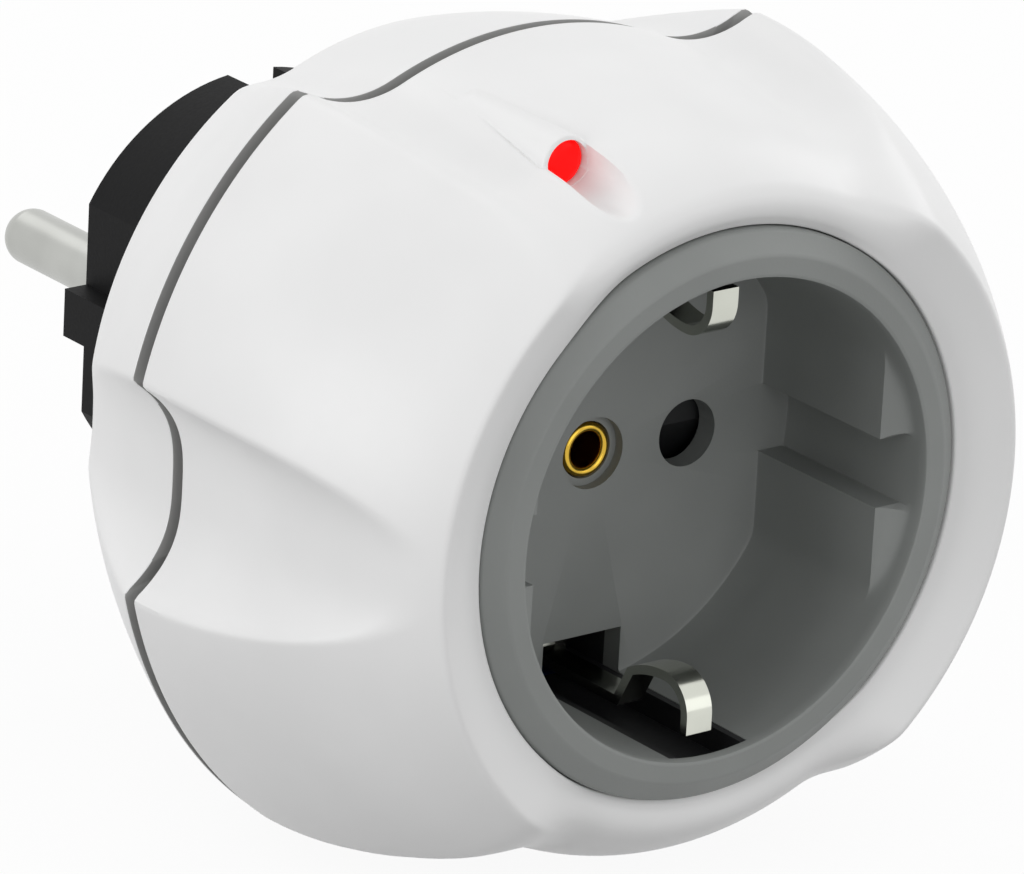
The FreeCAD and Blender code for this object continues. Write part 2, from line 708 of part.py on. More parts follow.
front = new_body("front_round")
inner_shoulder = moved_out(CROWN_CORE, core_bow, SHOULDER, -wall)
inner_brow = (on_arc((DOME[0], DOME[1]), dome_bow - wall, S["shelf_depth"]), S["shelf_depth"])
front_turn = turned(front, "PartDesign::Revolution", "front_turn", [
    LIP, NOSE, CREST,
    (pad_at_split, S["split_depth"]),
    (inner_at_split, S["split_depth"]),
    inner_shoulder, inner_brow,
    (LIP[0], S["shelf_depth"]),
], {0: (nose_bow, 1), 1: (dish_bow, -1), 2: (pad_bow, 1), 4: (core_bow - wall, -1), 5: (dome_bow - wall, -1)})
doc.recompute()
crest = front.newObject("PartDesign::Fillet", "crest")
crest.Base = (front_turn, circle_edges(front_turn.Shape, S["crest_radius"], -S["crest_forward"]))
crest.Radius = 0.25
hollow_in = inner_shoulder[0] - 0.6
for i, angle in enumerate(pocket_angles()):
    turned(front, "PartDesign::Groove", f"front_hollow_{i + 1}", [
        (hollow_in, S["pocket_front"]),
        (on_arc(CROWN_PAD, pad_bow - wall, S["pocket_front"]), S["pocket_front"]),
        (S["pad_radius"] - wall, S["crown_depth"]),
        (S["pad_radius"] - wall, rear_edge),
        (hollow_in, rear_edge),
    ], {1: (pad_bow - wall, 1)}, angle, S["pocket_angle"])
doc.recompute()

lamp_sine = work_out("lamp_sine", sine(S["lamp_angle"]))
lamp_cosine = work_out("lamp_cosine", cosine(S["lamp_angle"]))
x_lamp = work_out("lamp_x", -S["lamp_reach"] * lamp_sine)
z_lamp = work_out("lamp_z", S["lamp_reach"] * lamp_cosine)
lamp_rear = S["lamp_depth"] + S["lamp_length"]
turn_depth = lamp_rear + S["lamp_room"] / 2
lead_room = S["lead_radius"] + S["lamp_gap"] * 2
lead_side = S["lamp_lead_spacing"] / 2 + lead_room
lamp_boss = rod("lamp_boss", S["lamp_boss_radius"], S["post_root"] + 1, lamp_rear - 0.9, x_lamp, z_lamp)
front_posts = []
for i, (x, z) in enumerate(CORNERS):
    front_posts.append(rod(f"front_post_{i + 1}", S["post_radius"], S["post_root"], post_end,
                           both(x, post), both(z, post)))
front_solid = fuse("front_solid", front, lamp_boss, *front_posts)

beyond_pads = S["pad_radius"] * 0.6
far = work_out("far", S["pad_radius"] + beyond_pads)
beyond = work_out("beyond", larger(rear_edge, S["crown_depth"]) + 1)
front_tools = recess_cutters("front", [
    NOSE, BROW, SHOULDER, (S["core_radius"], S["crown_depth"]),
    (S["core_radius"], beyond), (far, beyond), (far, -S["crest_forward"] - 6), (NOSE[0], -S["crest_forward"] - 6),
], {0: (nose_bow, 1), 1: (dome_bow, 1), 2: (core_bow, 1)}, [
    (NOSE[0], NOSE[1] - S["recess_corner"]),
    moved_out(DOME, dome_bow, BROW, S["recess_corner"]),
    moved_out(CROWN_CORE, core_bow, SHOULDER, S["recess_corner"]),
    (S["core_radius"] + S["recess_corner"], S["crown_depth"]),
    (S["core_radius"] + S["recess_corner"], beyond),
], {0: (nose_bow + S["recess_corner"], 1), 1: (dome_bow + S["recess_corner"], 1),
    2: (core_bow + S["recess_corner"], 1)})
scoop_middle = (S["scoop_reach"] - S["scoop_front_bow"], S["crown_depth"])
scoop_start = -S["crest_forward"] - 4
front_tools += scoop_cutters("front", [
    (on_arc(scoop_middle, S["scoop_front_bow"], scoop_start), scoop_start),
    (S["scoop_reach"], S["crown_depth"]),
    (S["scoop_reach"], beyond),
], {0: (S["scoop_front_bow"], 1)})
front_cut = cut("front_cut", front_solid, *front_tools)

hood = doc.addObject("Part::Cone", "hood")
bind(hood, "Radius1", S["hood_radius"])
bind(hood, "Radius2", S["hood_end_radius"])
bind(hood, "Height", S["hood_length"])
place(hood, x_lamp, S["hood_depth"], z_lamp, ALONG_Y)
front_hooded = fuse("front_hooded", front_cut, hood)

slot_radius = S["lamp_radius"] + S["lamp_gap"]
slot_length = S["lamp_slot_length"]
slot_drop = work_out("slot_drop", slot_length * sine(S["lamp_slot_fall"]))
slot_run = work_out("slot_run", slot_length * cosine(S["lamp_slot_fall"]))
lean = Rotation(Vector(0, 1, 0), -S["lamp_angle"].value)
slot_floor = doc.addObject("Part::Cylinder", "lamp_slot_floor")
bind(slot_floor, "Radius", slot_radius)
bind(slot_floor, "Height", slot_length)
place(slot_floor, x_lamp, S["hood_depth"], z_lamp, lean * Rotation(Vector(1, 0, 0), 90 + S["lamp_slot_fall"].value))
slot_walls = doc.addObject("Part::Box", "lamp_slot")
bind(slot_walls, "Length", slot_radius * 2)
bind(slot_walls, "Width", slot_length)
bind(slot_walls, "Height", S["lamp_reach"] / 2)
place(slot_walls, x_lamp - slot_radius * lamp_cosine + slot_drop * lamp_sine, S["hood_depth"] - slot_run,
      z_lamp - slot_radius * lamp_sine - slot_drop * lamp_cosine,
      lean * Rotation(Vector(1, 0, 0), S["lamp_slot_fall"].value))
front_holes = [
    slot_floor, slot_walls,
    rod("lamp_hole", slot_radius, S["hood_depth"] - 1, lamp_rear + 0.4, x_lamp, z_lamp),
    rod("lamp_seat", S["lamp_flange_radius"] + S["lamp_gap"], lamp_rear - S["lamp_flange_thickness"],
        lamp_rear + S["lamp_room"], x_lamp, z_lamp),
    block("lamp_lead_way", (x_lamp - lead_side, x_lamp + lead_side), (turn_depth - lead_room, turn_depth + lead_room),
          (z_lamp - S["lamp_seat_fall"], z_lamp - S["lamp_flange_radius"] / 2)),
]
head_floor = S["rim_depth"] - S["screw_sink"]
screw_tip = head_floor - S["screw_length"]
for i, (x, z) in enumerate(CORNERS):
    front_holes.append(rod(f"pilot_{i + 1}", S["screw_radius"] + S["screw_gap"], screw_tip - 1, post_end + 1,
                           both(x, post), both(z, post)))
node(cut("front_shell", front_hooded, *front_holes), "front_shell")


# Rear shell

rear = new_body("rear_round")
tongue_out = inner_at_split - S["tongue_gap"]
tongue_in = tongue_out - S["tongue_wall"]
opening = S["plug_radius"] + S["plug_gap"]
ledge = rear_edge + 0.8
ledge_end = rear_edge + 2.5
turned(rear, "PartDesign::Revolution", "rear_turn", [
    (tongue_out, rear_edge - S["tongue_length"]),
    (tongue_out, rear_edge),
    PAD_FRONT_EDGE, PAD_RIM,
    (opening, S["rim_depth"]),
    (opening, plate_front),
    (on_arc(CORE_REAR, S["core_rear_bow"] - wall, plate_front), plate_front),
    (on_arc(CORE_REAR, S["core_rear_bow"] - wall, ledge_end), ledge_end),
    (tongue_in, ledge),
    (tongue_in, rear_edge - S["tongue_length"]),
], {2: (S["pad_rear_bow"], 1), 6: (S["core_rear_bow"] - wall, -1)})
web = tongue_out + 1.2
web_end = rear_edge + 3.2
pad_hollow = S["pad_rear_bow"] - wall
for i, angle in enumerate(pocket_angles()):
    turned(rear, "PartDesign::Groove", f"rear_hollow_{i + 1}", [
        (web, rear_edge - 0.5),
        (on_arc(PAD_REAR, pad_hollow, rear_edge), rear_edge - 0.5),
        (on_arc(PAD_REAR, pad_hollow, rear_edge), rear_edge),
        (on_arc(PAD_REAR, pad_hollow, plate_front), plate_front),
        (on_arc(CORE_REAR, S["core_rear_bow"] - wall, plate_front) - 0.8, plate_front),
        (on_arc(CORE_REAR, S["core_rear_bow"] - wall, plate_front) - 0.8, web_end),
        (web, web_end),
    ], {2: (pad_hollow, 1)}, angle, S["pocket_angle"])

tongue_notches = []
for i, (x, z) in enumerate(CORNERS):
    tongue_notches.append(rod(f"tongue_notch_{i + 1}", S["post_radius"] + S["play"], rear_edge - 4, post_end,
                              both(x, post), both(z, post)))
rear_notched = cut("rear_notched", rear, *tongue_notches)
rear_posts = []
for i, (x, z) in enumerate(CORNERS):
    rear_posts.append(rod(f"rear_post_{i + 1}", S["post_radius"] + 0.2, post_end, plate_front + 0.5,
                          both(x, post), both(z, post)))
rear_solid = fuse("rear_solid", rear_notched, *rear_posts)

blend = S["recess_corner"]
rear_blend_bow = S["core_rear_bow"] + blend
blend_front = moved_out(CORE_REAR, S["core_rear_bow"], CORE_FRONT_EDGE, blend)
blend_rim = moved_out(CORE_REAR, S["core_rear_bow"], CORE_RIM, blend)
rear_tools = recess_cutters("rear", [
    CORE_FRONT_EDGE, CORE_RIM,
    run_on(CORE_REAR, S["core_rear_bow"], CORE_RIM, 2),
    (far, S["rim_depth"] + 2), (far, rear_edge - 1), (CORE_FRONT_EDGE[0], rear_edge - 1),
], {0: (S["core_rear_bow"], 1)}, [
    run_on(CORE_REAR, rear_blend_bow, blend_front, -1.5),
    blend_front, blend_rim,
    run_on(CORE_REAR, rear_blend_bow, blend_rim, blend),
], {1: (rear_blend_bow, 1)})
scoop_rear_middle = (S["scoop_reach"] - S["scoop_rear_bow"], S["scoop_turn_depth"])
scoop_end = S["rim_depth"] + 2
rear_tools += scoop_cutters("rear", [
    (S["scoop_reach"], rear_edge - 1),
    (S["scoop_reach"], S["scoop_turn_depth"]),
    (on_arc(scoop_rear_middle, S["scoop_rear_bow"], scoop_end), scoop_end),
], {1: (S["scoop_rear_bow"], 1)})
rear_cut = cut("rear_cut", rear_solid, *rear_tools)
rear_holes = []
for i, (x, z) in enumerate(CORNERS):
    rear_holes.append(rod(f"screw_way_{i + 1}", S["screw_radius"] + S["screw_free"], post_end - 1, S["rim_depth"] + 1,
                          both(x, post), both(z, post)))
    rear_holes.append(rod(f"head_pocket_{i + 1}", S["screw_head_radius"] + S["screw_free"], head_floor,
                          S["rim_depth"] + 1, both(x, post), both(z, post)))
node(cut("rear_shell", rear_cut, *rear_holes), "rear_shell")


# Socket insert

floor_back = work_out("floor_back", S["well_depth"] + S["floor_thickness"])
flange_back = S["shelf_depth"] + S["flange_thickness"]
well_out = S["well_radius"] + S["well_wall"]
insert = new_body("insert_round")
turned(insert, "PartDesign::Revolution", "insert_turn", [
    (S["well_radius"], 0), (S["collar_flat_radius"], 0),
    (S["collar_radius"], S["collar_bevel"]), (S["collar_radius"], S["shelf_depth"]),
    (S["flange_radius"], S["shelf_depth"]), (S["flange_radius"], flange_back),
    (well_out, flange_back), (well_out, floor_back), (0, floor_back),
    (0, S["well_depth"]), (S["well_radius"], S["well_depth"]),
], {})
guide_blocks = []
for sign in SIDES:
    guide_blocks.append(block(f"guide_block_{'lr'[sign > 0]}", span(sign, S["guide_flat"], well_out),
                              (S["guide_depth"], S["well_depth"] + 0.5), middle_span(S["well_radius"] * 2)))
guide_bore = rod("guide_bore", S["well_radius"] + 0.3, S["guide_depth"], S["well_depth"] + 0.5)
guides = common("guides", guide_bore, fuse("guide_blocks", *guide_blocks))
insert_solid = fuse("insert_solid", insert, guides)
groove_bore = rod("groove_bore", S["well_radius"], S["guide_depth"] - 1, S["well_depth"])
groove_band = block("groove_band", middle_span(S["well_radius"] * 3), (S["guide_depth"] - 1, S["well_depth"]),
                    middle_span(S["guide_groove"]))
insert_tools = [common("guide_grooves", groove_bore, groove_band)]
for sign in SIDES:
    tag = "lower upper".split()[sign > 0]
    insert_tools.append(block(f"clip_slot_{tag}", middle_span(S["clip_slot_width"]),
                              (S["clip_slot_depth"], floor_back + 1),
                              span(sign, S["clip_slot_start"], S["clip_slot_reach"])))
    insert_tools.append(block(f"clip_window_{tag}", middle_span(S["clip_slot_width"]),
                              (flange_back, floor_back + 1), span(sign, S["clip_slot_start"], well_out + 1)))
    insert_tools.append(rod(f"socket_hole_{tag}", S["pin_hole_radius"], S["well_depth"] - 1, floor_back + 1,
                            both(sign, S["pin_spacing"] / 2)))
insert_tools.append(rod("bush_recess", S["bush_recess_radius"], S["well_depth"] - 1,
                        S["well_depth"] + S["bush_recess_depth"]))
insert_tools.append(rod("bush_hole", S["bush_radius"] + S["bush_hole_gap"], S["well_depth"], floor_back + 1))
for i, (x, z) in enumerate(CORNERS):
    insert_tools.append(rod(f"flange_notch_{i + 1}", S["post_radius"] + 0.15, S["shelf_depth"] - 0.2, flange_back + 1,
                            both(x, post), both(z, post)))
CARRIER_SCREWS = ((1, 1), (-1, -1))
BOARD_SCREWS = ((-1, 1), (1, -1))
small_hole = S["small_screw_radius"] + S["screw_gap"]
for i, (x, z) in enumerate(CARRIER_SCREWS):
    insert_tools.append(rod(f"floor_pilot_{i + 1}", small_hole, floor_back - S["carrier_screw_bite"] - 0.2,
                            floor_back + 1, both(x, S["fixing_x"]), both(z, S["fixing_z"])))
node(cut("socket_insert", insert_solid, *insert_tools), "socket_insert")


def clip_cradle(name, sign):
    """The black lining of an earth clip's opening, with ears behind the insert's flange."""
    out = S["clip_slot_reach"] - S["cradle_gap"]
    side_out = S["clip_slot_width"] / 2 - S["cradle_gap"]
    side_in = side_out - S["cradle_wall"]
    front_end = S["clip_slot_depth"] + S["cradle_gap"]
    ear_front = flange_back + S["cradle_gap"]
    parts = [
        block(name + "_back", middle_span(side_out * 2), (front_end, S["cradle_end"]),
              span(sign, out - S["cradle_wall"], out)),
        block(name + "_ears", middle_span(S["cradle_ear"] * 2), (ear_front, ear_front + 2.0),
              span(sign, out - S["cradle_wall"] / 2, out)),
    ]
    for side in SIDES:
        parts.append(block(f"{name}_side_{'lr'[side > 0]}", span(side, side_in, side_out),
                           (front_end, S["cradle_end"]), span(sign, S["cradle_side"], out)))
    return node(fuse(name, *parts), name)


clip_cradle("clip_cradle_upper", 1)
clip_cradle("clip_cradle_lower", -1)


# Bush, shutter and shutter spring

bush_front = S["well_depth"] + S["bush_setback"]
bush_back = bush_front + S["bush_length"]
bush_solid = fuse("bush_solid", rod("bush_tube", S["bush_radius"], bush_front, bush_back),
                  rod("bush_flange", S["bush_radius"] + 0.9, bush_back - 0.8, bush_back))
node(cut("centre_bush", bush_solid, rod("bush_bore", S["bush_bore_radius"], bush_front - 1, bush_back + 1)), "centre_bush")

shutter_front = floor_back + S["play"]
shutter_back = work_out("shutter_back", shutter_front + S["shutter_thickness"])
pocket_back = work_out("pocket_back", shutter_back + S["play"])
wings = new_body("shutter_wings")
hub_in = S["shutter_hub_radius"] - 0.8
for i, angle in enumerate((0.0, 180.0)):
    turned(wings, "PartDesign::Revolution", f"shutter_wing_{i + 1}", [
        (0.5, shutter_front), (S["shutter_radius"], shutter_front),
        (S["shutter_radius"], shutter_back), (0.5, shutter_back),
    ], {}, angle, S["shutter_wing_angle"])
shutter_solid = fuse("shutter_solid", wings, rod("shutter_hub", S["shutter_hub_radius"], shutter_front, shutter_back))
shutter_tools = [rod("shutter_bore", S["bush_radius"] + S["running_gap"], shutter_front - 1, shutter_back + 1)]
ramp_tilt = math.degrees(math.atan2(S["shutter_ramp"].value, S["pin_hole_radius"].value))
for sign in SIDES:
    ramp = doc.addObject("Part::Box", f"shutter_ramp_{'lr'[sign > 0]}")
    bind(ramp, "Length", S["shutter_radius"] - S["shutter_hub_radius"])
    bind(ramp, "Width", as_size(5))
    bind(ramp, "Height", as_size(8))
    tilt = Rotation(Vector(1, 0, 0), 180 + ramp_tilt)
    if sign < 0:
        tilt = Rotation(Vector(0, 1, 0), 180) * tilt
    shutter_tools.append(place(ramp, both(sign, S["shutter_hub_radius"] + 1.2), shutter_front, 0, tilt))
node(cut("shutter", shutter_solid, *shutter_tools), "shutter")

coil_front = pocket_back + 0.4
coil_length = S["spring_pitch"] * S["spring_turns"]
helix = doc.addObject("Part::Helix", "spring_helix")
bind(helix, "Pitch", S["spring_pitch"])
bind(helix, "Height", coil_length)
bind(helix, "Radius", S["spring_radius"])
place(helix, 0, coil_front, 0, ALONG_Y)
wire = doc.addObject("Part::Circle", "spring_wire")
bind(wire, "Radius", S["spring_wire_radius"])
place(wire, S["spring_radius"], coil_front, 0, Rotation())
coil = doc.addObject("Part::Sweep", "spring_coil")
doc.recompute()
coil.Sections = [wire]
coil.Spine = (helix, [f"Edge{i + 1}" for i in range(len(helix.Shape.Edges))])
coil.Solid = True
coil.Frenet = True
front_leg = rod("spring_front_leg", S["spring_wire_radius"], shutter_back + S["play"], coil_front, S["spring_radius"])
rear_leg = rod("spring_rear_leg", S["spring_wire_radius"], coil_front + coil_length, coil_front + coil_length + 1.2,
               S["spring_radius"])
node(fuse("shutter_spring", coil, front_leg, rear_leg), "shutter_spring")


# Contact carrier

carrier_back = work_out("carrier_back", floor_back + S["carrier_length"])
board_front = work_out("board_front", carrier_back + S["standoff_length"])
board_back = work_out("board_back", board_front + S["board_thickness"])
pin_x = S["pin_spacing"] / 2
carrier_parts = [rod("carrier_round", S["carrier_radius"], floor_back, carrier_back)]
for i, (x, z) in enumerate(BOARD_SCREWS):
    carrier_parts.append(rod(f"standoff_{i + 1}", S["standoff_radius"], carrier_back - 1, board_front,
                             both(x, S["fixing_x"]), both(z, S["fixing_z"])))
carrier_solid = fuse("carrier_solid", *carrier_parts)
spring_room = S["spring_radius"] + S["spring_wire_radius"] + 0.3
chamber_front = pocket_back + S["chamber_roof"]
carrier_tools = [
    rod("shutter_pocket", S["shutter_radius"] + S["play"], floor_back - 1, pocket_back),
    rod("spring_room", spring_room, pocket_back - 1, coil_front + coil_length + 0.4),
    rod("bush_seat", S["bush_radius"] + 0.01, floor_back - 1, carrier_back + 1),
    rod("bush_flange_seat", S["bush_radius"] + 1.0, bush_back - 0.8, carrier_back + 1),
    rod("spring_leg_hole", S["spring_wire_radius"] + 0.05, coil_front + coil_length - 0.5,
        coil_front + coil_length + 1.4, S["spring_radius"]),
]
for sign in SIDES:
    tag = "lr"[sign > 0]
    carrier_tools.append(rod(f"carrier_pin_way_{tag}", S["pin_hole_radius"] + 0.2, pocket_back - 1, chamber_front + 1,
                             both(sign, pin_x)))
    carrier_tools.append(block(f"chamber_{tag}", (both(sign, pin_x) - S["chamber_width"] / 2,
                                                  both(sign, pin_x) + S["chamber_width"] / 2),
                               (chamber_front, carrier_back + 1), middle_span(S["chamber_height"])))
    carrier_tools.append(block(f"plate_seat_{tag}", (both(sign, pin_x) - S["plate_width"] / 2 - 0.1,
                                                     both(sign, pin_x) + S["plate_width"] / 2 + 0.1),
                               (carrier_back - S["plate_thickness"], carrier_back + 1),
                               middle_span(S["plate_height"] + 0.2)))
    carrier_tools.append(block(f"clip_way_{tag}", middle_span(S["clip_slot_width"]),
                               (floor_back - 1, board_front + 1),
                               span(sign, S["clip_slot_start"], S["carrier_radius"] + 1)))
screw_floor = floor_back + 6.0
for i, (x, z) in enumerate(CARRIER_SCREWS):
    carrier_tools.append(rod(f"carrier_screw_way_{i + 1}", S["small_screw_radius"] + S["screw_free"], floor_back - 1,
                             carrier_back + 1, both(x, S["fixing_x"]), both(z, S["fixing_z"])))
    carrier_tools.append(rod(f"carrier_head_way_{i + 1}", S["small_head_radius"] + 0.2, screw_floor,
                             carrier_back + 1, both(x, S["fixing_x"]), both(z, S["fixing_z"])))
for i, (x, z) in enumerate(BOARD_SCREWS):
    carrier_tools.append(rod(f"board_pilot_{i + 1}", small_hole, board_front - S["board_screw_bite"] - 0.4,
                             board_front + 1, both(x, S["fixing_x"]), both(z, S["fixing_z"])))
node(cut("contact_carrier", carrier_solid, *carrier_tools), "contact_carrier")


# Contacts and busbars

bar_front = work_out("bar_front", board_back + 1.0)
bar_back = work_out("bar_back", bar_front + S["busbar_thickness"])
sleeve_front = chamber_front + S["contact_gap"]
plate_start = carrier_back - S["plate_thickness"]
tail_z = S["plate_height"] / 2


def contact(name, sign):
    """A slit sleeve that grips a pin, on a plate with a tail through the board."""
    x = both(sign, pin_x)
    solid = fuse(name + "_solid",
                 rod(name + "_sleeve", S["sleeve_radius"], sleeve_front, plate_start + 0.2, x),
                 block(name + "_plate", (x - S["plate_width"] / 2, x + S["plate_width"] / 2),
                       (plate_start, carrier_back), middle_span(S["plate_height"])),
                 block(name + "_tail", (x - S["tail_width"] / 2, x + S["tail_width"] / 2),
                       (plate_start, bar_back + 0.4), (tail_z - S["tail_thickness"], tail_z)))
    slit = block(name + "_slit", (x - S["sleeve_slit"] / 2, x + S["sleeve_slit"] / 2),
                 (sleeve_front - 1, plate_start - 1), middle_span(S["sleeve_radius"] * 3))
    flare = doc.addObject("Part::Cone", name + "_flare")
    bind(flare, "Radius1", S["pin_radius"] + 0.7)
    bind(flare, "Radius2", S["pin_radius"] + 0.05)
    bind(flare, "Height", as_size(1.2))
    place(flare, x, sleeve_front, 0, ALONG_Y)
    bore = rod(name + "_bore", S["pin_radius"] + 0.05, sleeve_front - 1, carrier_back + 1, x)
    return node(cut(name, solid, bore, slit, flare), name)


def busbar(name, sign):
    """A bar behind the board from a plug pin's stem to a contact's tail."""
    x = both(sign, pin_x)
    bar = block(name + "_bar", (x - S["busbar_width"] / 2, x + S["busbar_width"] / 2), (bar_front, bar_back),
                (-S["busbar_height"] / 3, tail_z + 1.2))
    hole = rod(name + "_hole", S["small_screw_radius"] + 0.02, bar_front - 1, bar_back + 1, x)
    tail = block(name + "_slot", (x - S["tail_width"] / 2 - 0.05, x + S["tail_width"] / 2 + 0.05),
                 (bar_front - 1, bar_back + 1), (tail_z - S["tail_thickness"] - 0.05, tail_z + 0.05))
    return node(cut(name, bar, hole, tail), name)


contact("line_contact", -1)
contact("neutral_contact", 1)
busbar("line_busbar", -1)
busbar("neutral_busbar", 1)


# Earth clips and bridge

def earth_clip(name, sign):
    """A sprung clip: curled nose, straight back and an eye round the hinge."""
    t = S["clip_thickness"]
    nose = S["clip_nose_depth"]
    curl = S["clip_curl"]
    peak = S["clip_peak"]
    peak_depth = nose + curl
    back = (S["clip_back_depth"], S["clip_back"])
    leg_in = S["hinge_reach"] - t / 2
    leg_depth = back[0] + S["clip_leg_run"]
    leg_end = S["hinge_depth"] - 1.2
    face = [
        (nose, S["clip_nose_end"]), (nose, peak + curl), (peak_depth, peak), back,
        (leg_depth, leg_in), (leg_end, leg_in), (leg_end, leg_in + t), (leg_depth - t * 0.6, leg_in + t),
        (back[0] - t * 0.9, back[1] + t * 0.5), (peak_depth, peak + t), (nose + t, peak + curl),
        (nose + t, S["clip_nose_end"]),
    ]
    bends = {1: (curl, sign), 2: (Size(9.2), sign), 8: (Size(9.6), -sign), 9: (curl - t, -sign)}
    strip = profile_pad(name + "_strip", [(d, both(sign, z)) for d, z in face], bends, S["clip_width"])
    z = both(sign, S["hinge_reach"])
    eye = cross_rod(name + "_eye", S["hinge_eye_radius"], S["clip_width"], -S["clip_width"] / 2, S["hinge_depth"], z,
                    ALONG_X)
    hole = cross_rod(name + "_eye_hole", S["hinge_radius"] + S["running_gap"], S["clip_width"] + 2,
                     -S["clip_width"] / 2 - 1, S["hinge_depth"], z, ALONG_X)
    return node(cut(name, fuse(name + "_solid", strip, eye), hole), name)


earth_clip("earth_clip_upper", 1)
earth_clip("earth_clip_lower", -1)

arm_in = S["bridge_arm_start"]
arm_out = arm_in + S["bridge_arm_thickness"]
prong_in = S["clip_width"] / 2 + S["hinge_gap"]
prong_out = prong_in + 1.2
bridge_parts = [block("bridge_bar", middle_span(S["bridge_width"]), (bar_front, bar_back), middle_span(arm_out * 2))]
for sign in SIDES:
    tag = "lower upper".split()[sign > 0]
    bridge_parts.append(block(f"bridge_arm_{tag}", middle_span(prong_out * 2),
                              (S["hinge_depth"] + S["hinge_eye_radius"] + 0.6, bar_back), span(sign, arm_in, arm_out)))
    for side in SIDES:
        bridge_parts.append(block(f"bridge_prong_{tag}_{'lr'[side > 0]}", span(side, prong_in, prong_out),
                                  (S["hinge_depth"] - 1.1, S["hinge_depth"] + 3), span(sign, arm_in - 0.7, arm_out + 0.7)))
    bridge_parts.append(cross_rod(f"bridge_hinge_{tag}", S["hinge_radius"], prong_out * 2, -prong_out,
                                  S["hinge_depth"], both(sign, S["hinge_reach"]), ALONG_X))
node(fuse("earth_bridge", *bridge_parts), "earth_bridge")


# Plug body, pins and earth strips

flange_front = work_out("flange_front", plate_front - S["plug_flange_thickness"])
plug_end = S["body_depth"]
plug_parts = [
    rod("plug_round", S["plug_radius"], flange_front, plug_end),
    rod("plug_flange", S["plug_flange_radius"], flange_front, plate_front),
]
for i, (x, z) in enumerate(CARRIER_SCREWS):
    plug_parts.append(rod(f"plug_pillar_{i + 1}", S["standoff_radius"], board_back, flange_front + 1,
                          both(x, S["fixing_x"]), both(z, S["fixing_z"])))
plug_raw = fuse("plug_raw", *plug_parts)
flat_start = S["rim_depth"] + 2.0
flats = []
for sign in SIDES:
    flats.append(block(f"plug_flat_{'lr'[sign > 0]}", span(sign, S["plug_flat"], S["plug_radius"] + 3),
                       (flat_start, plug_end + 1), middle_span(S["plug_radius"] * 2)))
plug_flatted = cut("plug_flatted", plug_raw, *flats)
rib_blocks = []
for sign in SIDES:
    rib_blocks.append(block(f"plug_rib_{'lr'[sign > 0]}", span(sign, S["plug_flat"] - 0.6, S["plug_rib"]),
                            (flat_start - 0.5, plug_end), middle_span(S["plug_rib_height"])))
cavity_end = plug_end - S["plug_floor"]
hollow = rod("plug_hollow", S["plug_cavity_radius"], flange_front - 1, cavity_end)
plug_hollowed = cut("plug_hollowed", fuse("plug_ribbed", plug_flatted, *rib_blocks), hollow)
boss_front = cavity_end - 6.0
bosses = []
for sign in SIDES:
    bosses.append(rod(f"pin_boss_{'lr'[sign > 0]}", S["pin_boss_radius"], boss_front, cavity_end + 0.5,
                      both(sign, pin_x)))
plug_solid = fuse("plug_solid", plug_hollowed, *bosses)
plug_tools = []
for sign in SIDES:
    tag = "lr"[sign > 0]
    plug_tools.append(rod(f"pin_seat_{tag}", S["pin_root_radius"] + 0.01, boss_front - 1, plug_end + 1,
                          both(sign, pin_x)))
    plug_tools.append(rod(f"pin_collar_seat_{tag}", S["pin_radius"] + 0.72, boss_front - 1, boss_front + 1.0,
                          both(sign, pin_x)))
    plug_tools.append(block(f"earth_recess_{tag}", middle_span(S["earth_recess_width"]),
                            (flange_front - 1, plug_end + 1), span(sign, S["strip_seat"], S["plug_flange_radius"] + 1)))
node(cut("plug_body", plug_solid, *plug_tools), "plug_body")


def plug_pin(name, sign):
    """A round pin with a rounded tip, a thicker root and a collar in its seat, and a stem to the busbar."""
    x = both(sign, pin_x)
    end = plug_end + S["pin_length"]
    tip = S["pin_radius"]
    thick = S["pin_root_radius"]
    root_end = plug_end + S["pin_root_out"]
    body = new_body(name)
    stem = S["small_screw_radius"]
    turned(body, "PartDesign::Revolution", name + "_turn", [
        (0, bar_front - 0.4), (stem, bar_front - 0.4), (stem, boss_front), (tip + 0.7, boss_front),
        (tip + 0.7, boss_front + 1.0), (thick, boss_front + 1.0), (thick, root_end), (tip, root_end),
        (tip, end - tip * 0.8), (tip * 0.35, end), (0, end),
    ], {8: (tip * 0.95, 1)})
    body.Placement = Placement(Vector(x.value, 0, 0), Rotation())
    bind(body, "Placement.Base.x", x)
    return node(body, name)


plug_pin("line_pin", -1)
plug_pin("neutral_pin", 1)


def plug_strip(name, sign):
    """A strip in the plug's earth recess, with a foot on the bridge."""
    seat = S["strip_seat"]
    t = S["strip_thickness"]
    end = plug_end - 0.6
    face = [
        (bar_back, seat - 3.0), (bar_back, seat + t), (end - 1.2, seat + t), (end, seat + t * 0.4), (end, seat),
        (bar_back + t, seat), (bar_back + t, seat - 3.0),
    ]
    return node(profile_pad(name, [(d, both(sign, z)) for d, z in face], {}, S["strip_width"]), name)


plug_strip("plug_earth_strip_upper", 1)
plug_strip("plug_earth_strip_lower", -1)


# Circuit board and what stands on it

def lead(name, x, z, start, end=None):
    return rod(name, S["lead_radius"], start, end or board_back + S["lead_end"], x, z)


LEAD_HOLES = []


def upright(name, radius, length, x, z, lift=1.0):
    """An axial part that stands on the board, with its far lead turned back beside it."""
    top = board_front - lift
    side = Size(1) if x.value < 0 else Size(-1)
    away = radius + 0.8
    far_x = x + side * away
    LEAD_HOLES.extend([(x, z), (far_x, z)])
    return node(fuse(name,
                     rod(name + "_body", radius, top - length, top, x, z),
                     lead(name + "_lead", x, z, top),
                     lead(name + "_stub", x, z, top - length - 1.0, top - length + 0.2),
                     cross_rod(name + "_bow", S["lead_radius"], away, x if side.value > 0 else far_x,
                               top - length - 1.0, z, ALONG_X),
                     lead(name + "_return", far_x, z, top - length - 1.0)), name)


